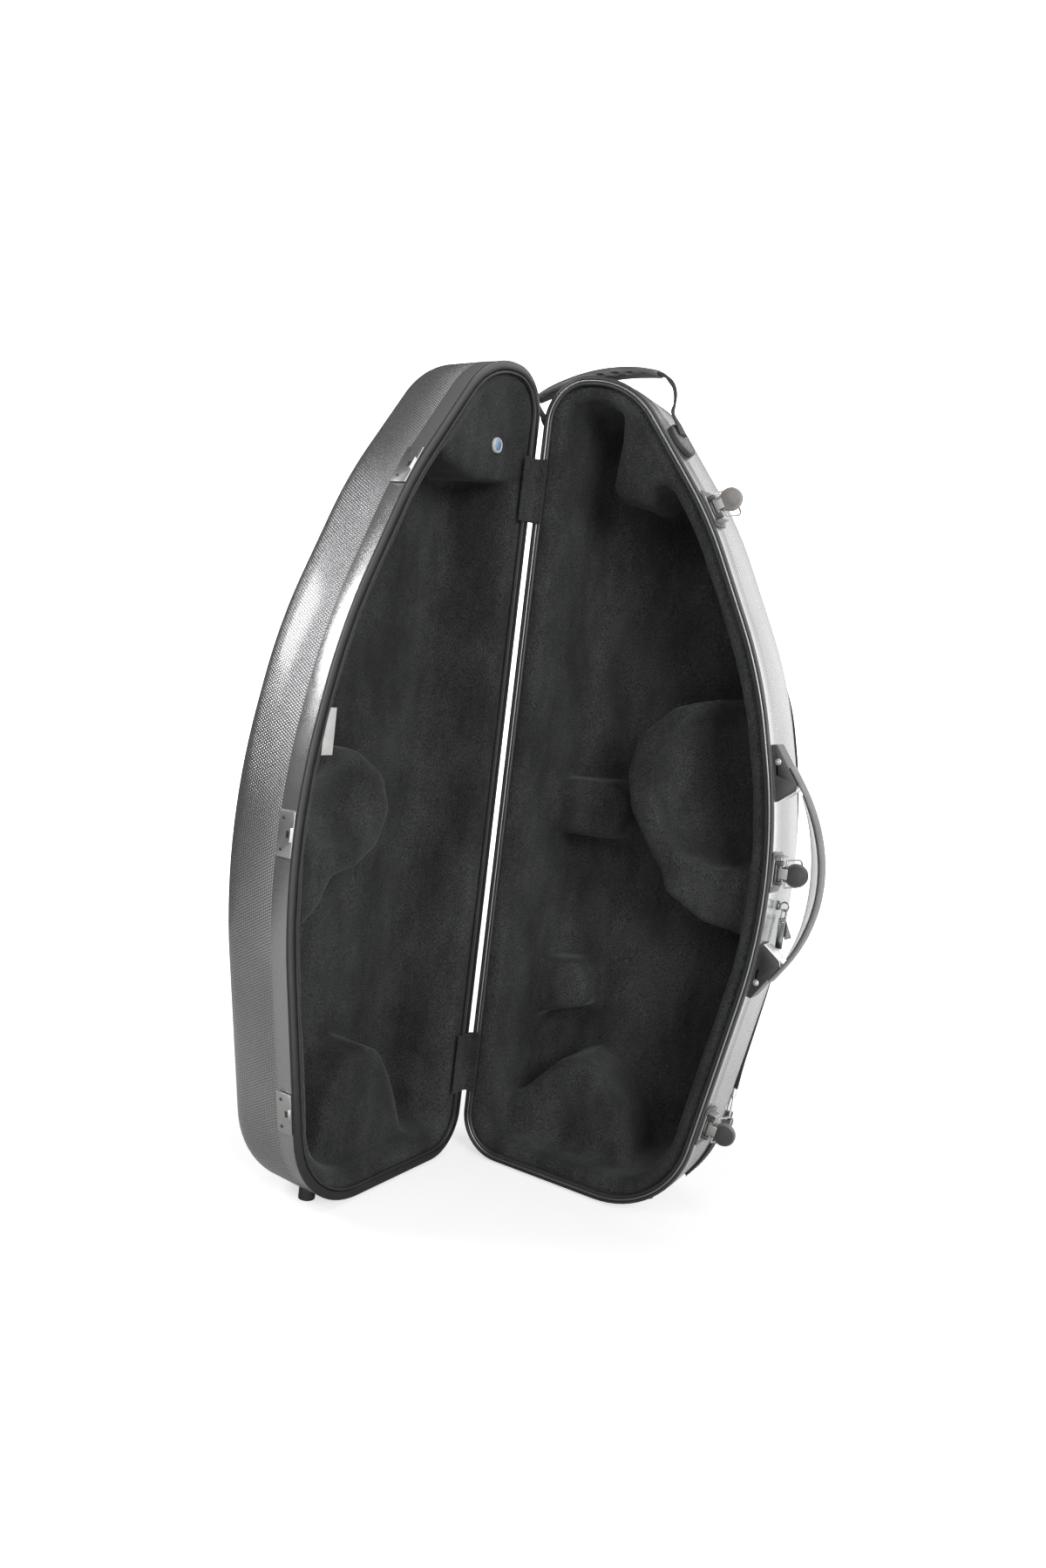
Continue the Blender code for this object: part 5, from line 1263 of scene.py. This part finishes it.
class CASE_OT_straps(bpy.types.Operator):
    """Make the shoulder straps, pads, hooks, lugs and strap tail"""
    bl_idname = "saxcase.straps"
    bl_label = "Straps"

    def execute(self, context):
        weave = FINISHES["strap_weave"]
        back = DEPTH["base"] + GAP
        outer = []
        edge_rows = ((STRAP_FOOT, 34), (0.150, 36), (0.190, 39), (0.240, 43), (0.300, 46), (0.360, 47),
                     (0.420, 45), (0.470, 42), (0.515, 45), (0.550, 60))
        for z, degrees in edge_rows:
            lift = (STRAP_THICKNESS / 2 if outer else HOOK_BARREL) + BOW_ALLOWANCE
            point, normal = surface_point(z, math.radians(degrees), lift)
            outer.append((point, normal, STRAP_WIDTH * 0.55, STRAP_THICKNESS))
        for x, z in ((0.168, 0.600), (0.135, 0.645), (0.105, 0.690), (0.088, 0.725)):
            point = place("base", x, back + STRAP_THICKNESS / 2 + 0.0008, z)
            outer.append((point, Vector((0, 1, 0)), STRAP_WIDTH, STRAP_THICKNESS))
        inner = []
        for x, z in ((0.062, 0.130), (0.060, 0.200), (0.058, 0.260), (0.056, 0.300), (0.054, 0.400), (0.053, 0.500),
                     (0.052, 0.600), (0.054, 0.660), (0.058, 0.700), (0.060, 0.725)):
            lift = STRAP_THICKNESS / 2 if inner else HOOK_BARREL
            inner.append((place("base", x, back + lift, z), Vector((0, 1, 0)), STRAP_WIDTH, STRAP_THICKNESS))
        tail = []
        for z, depth in ((0.078, 0.070), (0.062, 0.066), (0.048, 0.060), (0.036, 0.053)):
            x, angle = wall_crossing(z, SHELL_SETBACK + DRAFT["base"] * (depth - BAND_WIDTH))
            outward = Vector((math.cos(angle), 0, math.sin(angle)))
            tail.append((place("base", x, depth, z) + outward * (STRAP_THICKNESS / 2 + GAP), outward,
                         STRAP_WIDTH * 0.6, STRAP_THICKNESS))
        seams = []
        for name, rows, node in (
            ("shoulder_webbing_outer", outer, "shoulder_strap_outer"),
            ("shoulder_webbing_inner", inner, "shoulder_strap_inner"), ("strap_tail_webbing", tail, "strap_tail"),
        ):
            fine = eased_rows(rows, 6)
            dress(band(name, fine, 0.0010, [weave]), node)
            for side in (-1, 1):
                line = []
                for i, (point, normal, width, thick) in enumerate(fine):
                    ahead = (fine[min(i + 1, len(fine) - 1)][0] - fine[max(i - 1, 0)][0]).normalized()
                    edge = ahead.cross(normal).normalized() * side * (width / 2 - 0.0022)
                    line.append(point + edge + normal * (thick / 2 + 0.00005))
                seams.append(line)
        pads = {
            "outer": [(0.168, 0.600, 0.5), (0.150, 0.625, 0.8), (0.135, 0.645, 1), (0.118, 0.670, 1),
                      (0.105, 0.690, 0.9)],
            "inner": [(0.057, 0.285, 0.5), (0.0555, 0.315, 0.9), (0.054, 0.400, 1), (0.053, 0.500, 1),
                      (0.052, 0.600, 1), (0.0535, 0.645, 0.9), (0.055, 0.672, 0.5)],
        }
        for label, line in pads.items():
            widest = (PAD_WIDTH if label == "inner" else STRAP_WIDTH * 1.25) * 0.75
            rows = []
            for x, z, share in line:
                thick = PAD_THICKNESS * (0.55 + 0.45 * share) * (1 if label == "inner" else 0.8)
                point = place("base", x, back + thick / 2, z)
                rows.append((point, Vector((0, 1, 0)), widest * (0.6 + 0.4 * share), thick))
            pad = band("shoulder_pad_" + label, eased_rows(rows, 6), 0.0034, [weave])
            step = pad.modifiers.new("round", "SUBSURF")
            step.levels = step.render_levels = 1
            settle(pad)
            pad.data.shade_smooth()
            dress(pad, body="base", slot="webbing")
        thread = stitches("strap_stitches", seams, 0.0026, 0.0014, 0.00022, FINISHES["grey_weave"])
        dress(thread, body="base", slot="webbing")
        for label in ("outer", "inner"):
            refined("snap_hook_" + label, FINISHES["satin_steel"], 0.0002)
            refined("strap_lug_" + label, FINISHES["bracket_black_and_window_shade"], 0.0004)
        return {"FINISHED"}


class CASE_OT_small_fittings(bpy.types.Operator):
    """Make the feet, the button and the blank label"""
    bl_idname = "saxcase.small_fittings"
    bl_label = "Feet, button and label"

    def execute(self, context):
        for half in ("base", "lid"):
            for label in ("inner", "outer"):
                refined(half + "_foot_" + label, FINISHES["black_rubber"], 0.0010)
        low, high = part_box("lid_button")
        centre = Vector((low.x, (low.y + high.y) / 2, (low.z + high.z) / 2))
        turn = Matrix.Translation(centre) @ Vector((1, 0, 0)).to_track_quat("Z", "Y").to_matrix().to_4x4()
        profile = [(0, 0), (0.0075, 0), (0.0075, 0.0016), (0.0070, 0.0026), (0.0064, 0.0028), (0.0056, 0.0026),
                   (0.0053, 0.0022), (0.0050, 0.0026), (0.0040, 0.0034), (0.0020, 0.0039), (0, 0.0040)]
        strips = [1, 1, 1, 1, 1, 1, 0, 0, 0, 0]
        button = lathe("lid_button_cap", profile, turn, [FINISHES["button_blue"], FINISHES["button_white"]], 40, strips)
        dress(button, "lid_button")
        seat = Matrix.Translation(place("lid", 0.272, 0.0034, 0.4497))
        label = rounded_box("lid_blank_label", (-0.0004, -0.0070, -0.0205), (0.0004, 0.0070, 0.0205), seat, 0.0003,
                            [FINISHES["label_cloth"]])
        dress(label, body="lid", slot="webbing")
        return {"FINISHED"}


class CASE_OT_stage(bpy.types.Operator):
    """Make the floor, lights, surroundings and camera"""
    bl_idname = "saxcase.stage"
    bl_label = "Stage"

    def execute(self, context):
        settings = context.scene.case_stage
        bm = bmesh.new()
        bmesh.ops.create_grid(bm, x_segments=1, y_segments=1, size=1.6)
        bmesh.ops.translate(bm, verts=bm.verts, vec=(0.6, 0, 0))
        floor = mesh_object("floor", bm, [])
        material, tree, shader = principled("pale_floor", Roughness=0.6, Specular_IOR_Level=0.1)
        shader.inputs["Base Color"].default_value = (0.62, 0.62, 0.62, 1)
        seen = add(tree, "ShaderNodeLightPath")
        glow = add(tree, "ShaderNodeEmission", {"Color": (1, 1, 1, 1)})
        strength = add(tree, "ShaderNodeMath", operation="MULTIPLY")
        where = add(tree, "ShaderNodeTexCoord")
        away = add(tree, "ShaderNodeVectorMath", operation="LENGTH")
        tree.links.new(where.outputs["Object"], away.inputs[0])
        spread(tree, away.outputs["Value"], 0.66, 1.3, strength.inputs[1], 0.35, 0.95)
        sum_of = add(tree, "ShaderNodeAddShader")
        output = tree.nodes["Material Output"]
        tree.links.new(seen.outputs["Is Camera Ray"], strength.inputs[0])
        split = add(tree, "ShaderNodeSeparateXYZ")
        tree.links.new(where.outputs["Object"], split.inputs["Vector"])
        mirrored = add(tree, "ShaderNodeMath", operation="MULTIPLY")
        tree.links.new(seen.outputs["Is Glossy Ray"], mirrored.inputs[0])
        spread(tree, split.outputs["X"], 0, 1.6, mirrored.inputs[1], 0.05, 0.35)
        total = add(tree, "ShaderNodeMath", operation="ADD")
        tree.links.new(strength.outputs["Value"], total.inputs[0])
        tree.links.new(mirrored.outputs["Value"], total.inputs[1])
        tree.links.new(total.outputs["Value"], glow.inputs["Strength"])
        tree.links.new(shader.outputs["BSDF"], sum_of.inputs[0])
        tree.links.new(glow.outputs["Emission"], sum_of.inputs[1])
        tree.links.new(sum_of.outputs["Shader"], output.inputs["Surface"])
        floor.data.materials.append(material)

        world = bpy.data.worlds.new("pale_room")
        context.scene.world = world
        world.use_nodes = True
        tree = world.node_tree
        sky = tree.nodes["Background"]
        sky.inputs["Color"].default_value = (1, 1, 1, 1)
        seen = add(tree, "ShaderNodeLightPath")
        first = add(tree, "ShaderNodeMath", operation="MAXIMUM")
        second = add(tree, "ShaderNodeMath", operation="MAXIMUM")
        tree.links.new(seen.outputs["Is Camera Ray"], first.inputs[0])
        tree.links.new(seen.outputs["Is Transmission Ray"], first.inputs[1])
        tree.links.new(first.outputs["Value"], second.inputs[0])
        tree.links.new(seen.outputs["Is Glossy Ray"], second.inputs[1])
        spread(tree, second.outputs["Value"], settings.ambient, 2.4, sky.inputs["Strength"], 0, 1)
        where = add(tree, "ShaderNodeTexCoord")
        split = add(tree, "ShaderNodeSeparateXYZ")
        tree.links.new(where.outputs["Generated"], split.inputs["Vector"])
        side = spread(tree, split.outputs["X"], 0, 1, None, -0.30, 0.20)
        shown = add(tree, "ShaderNodeMath", operation="MAXIMUM")
        tree.links.new(side, shown.inputs[0])
        tree.links.new(first.outputs["Value"], shown.inputs[1])
        blended(tree, shown.outputs["Value"], (0.045, 0.045, 0.047), (1, 1, 1), sky.inputs["Color"])

        aim = Vector((0, 0, 0.42))
        lamps = (
            ("key_light", (2.3, -1.7, 1.6), 1.2, settings.key), ("fill_light", (0.0, -2.6, 2.2), 1.4, settings.fill),
            ("top_light", (0.1, 0.4, 2.6), 1.2, settings.fill),
            ("strip_light", (-1.10, -0.88, 1.15), 0.50, settings.strip),
        )
        for name, spot, size, power in lamps:
            light = bpy.data.lights.new(name, "AREA")
            light.size = size
            light.energy = power
            lamp = bpy.data.objects.new(name, light)
            context.scene.collection.objects.link(lamp)
            lamp.location = spot
            lamp.rotation_euler = (aim - Vector(spot)).to_track_quat("-Z", "Y").to_euler()

        data = bpy.data.cameras.new("photo_camera")
        data.lens = 29.016
        data.sensor_width = 36
        data.clip_start = 0.01
        camera = bpy.data.objects.new("photo_camera", data)
        context.scene.collection.objects.link(camera)
        right, upward = Vector((0.83885, 0.53170, 0.11672)), Vector((-0.15774, 0.03221, 0.98696))
        ahead = Vector((-0.52101, 0.84632, -0.11089))
        turn = Matrix((right, upward, -ahead)).transposed().to_4x4()
        turn.translation = ORIGIN + Vector((0.70440, -1.09810, 0.54428))
        camera.matrix_world = turn
        context.scene.camera = camera
        context.scene.view_settings.view_transform = "Standard"
        return {"FINISHED"}


class CASE_PT_panel(bpy.types.Panel):
    bl_idname = "CASE_PT_panel"
    bl_label = "Saxophone case"
    bl_space_type = "VIEW_3D"
    bl_region_type = "UI"
    bl_category = "Case"

    def draw(self, context):
        for name, group in SETTINGS:
            box = self.layout.box()
            for label in group.__annotations__:
                box.prop(getattr(context.scene, name), label)
        for operator in OPERATORS:
            self.layout.operator(operator.bl_idname)


SETTINGS = (
    ("case_shell", ShellSettings), ("case_plush", PlushSettings), ("case_hardware", HardwareSettings),
    ("case_strap", StrapSettings), ("case_stage", StageSettings),
)
OPERATORS = (
    CASE_OT_finishes, CASE_OT_shells, CASE_OT_rims, CASE_OT_plush, CASE_OT_hinges, CASE_OT_latches,
    CASE_OT_catches, CASE_OT_side_handle, CASE_OT_top_handle, CASE_OT_keys, CASE_OT_straps,
    CASE_OT_small_fittings, CASE_OT_stage,
)


def register():
    for name, group in SETTINGS:
        bpy.utils.register_class(group)
        setattr(bpy.types.Scene, name, PointerProperty(type=group))
    for operator in OPERATORS:
        bpy.utils.register_class(operator)
    bpy.utils.register_class(CASE_PT_panel)


def unregister():
    bpy.utils.unregister_class(CASE_PT_panel)
    for operator in reversed(OPERATORS):
        bpy.utils.unregister_class(operator)
    for name, group in reversed(SETTINGS):
        delattr(bpy.types.Scene, name)
        bpy.utils.unregister_class(group)


def main():
    register()
    for operator in OPERATORS:
        family, name = operator.bl_idname.split(".")
        getattr(getattr(bpy.ops, family), name)()


if __name__ == "__main__":
    main()
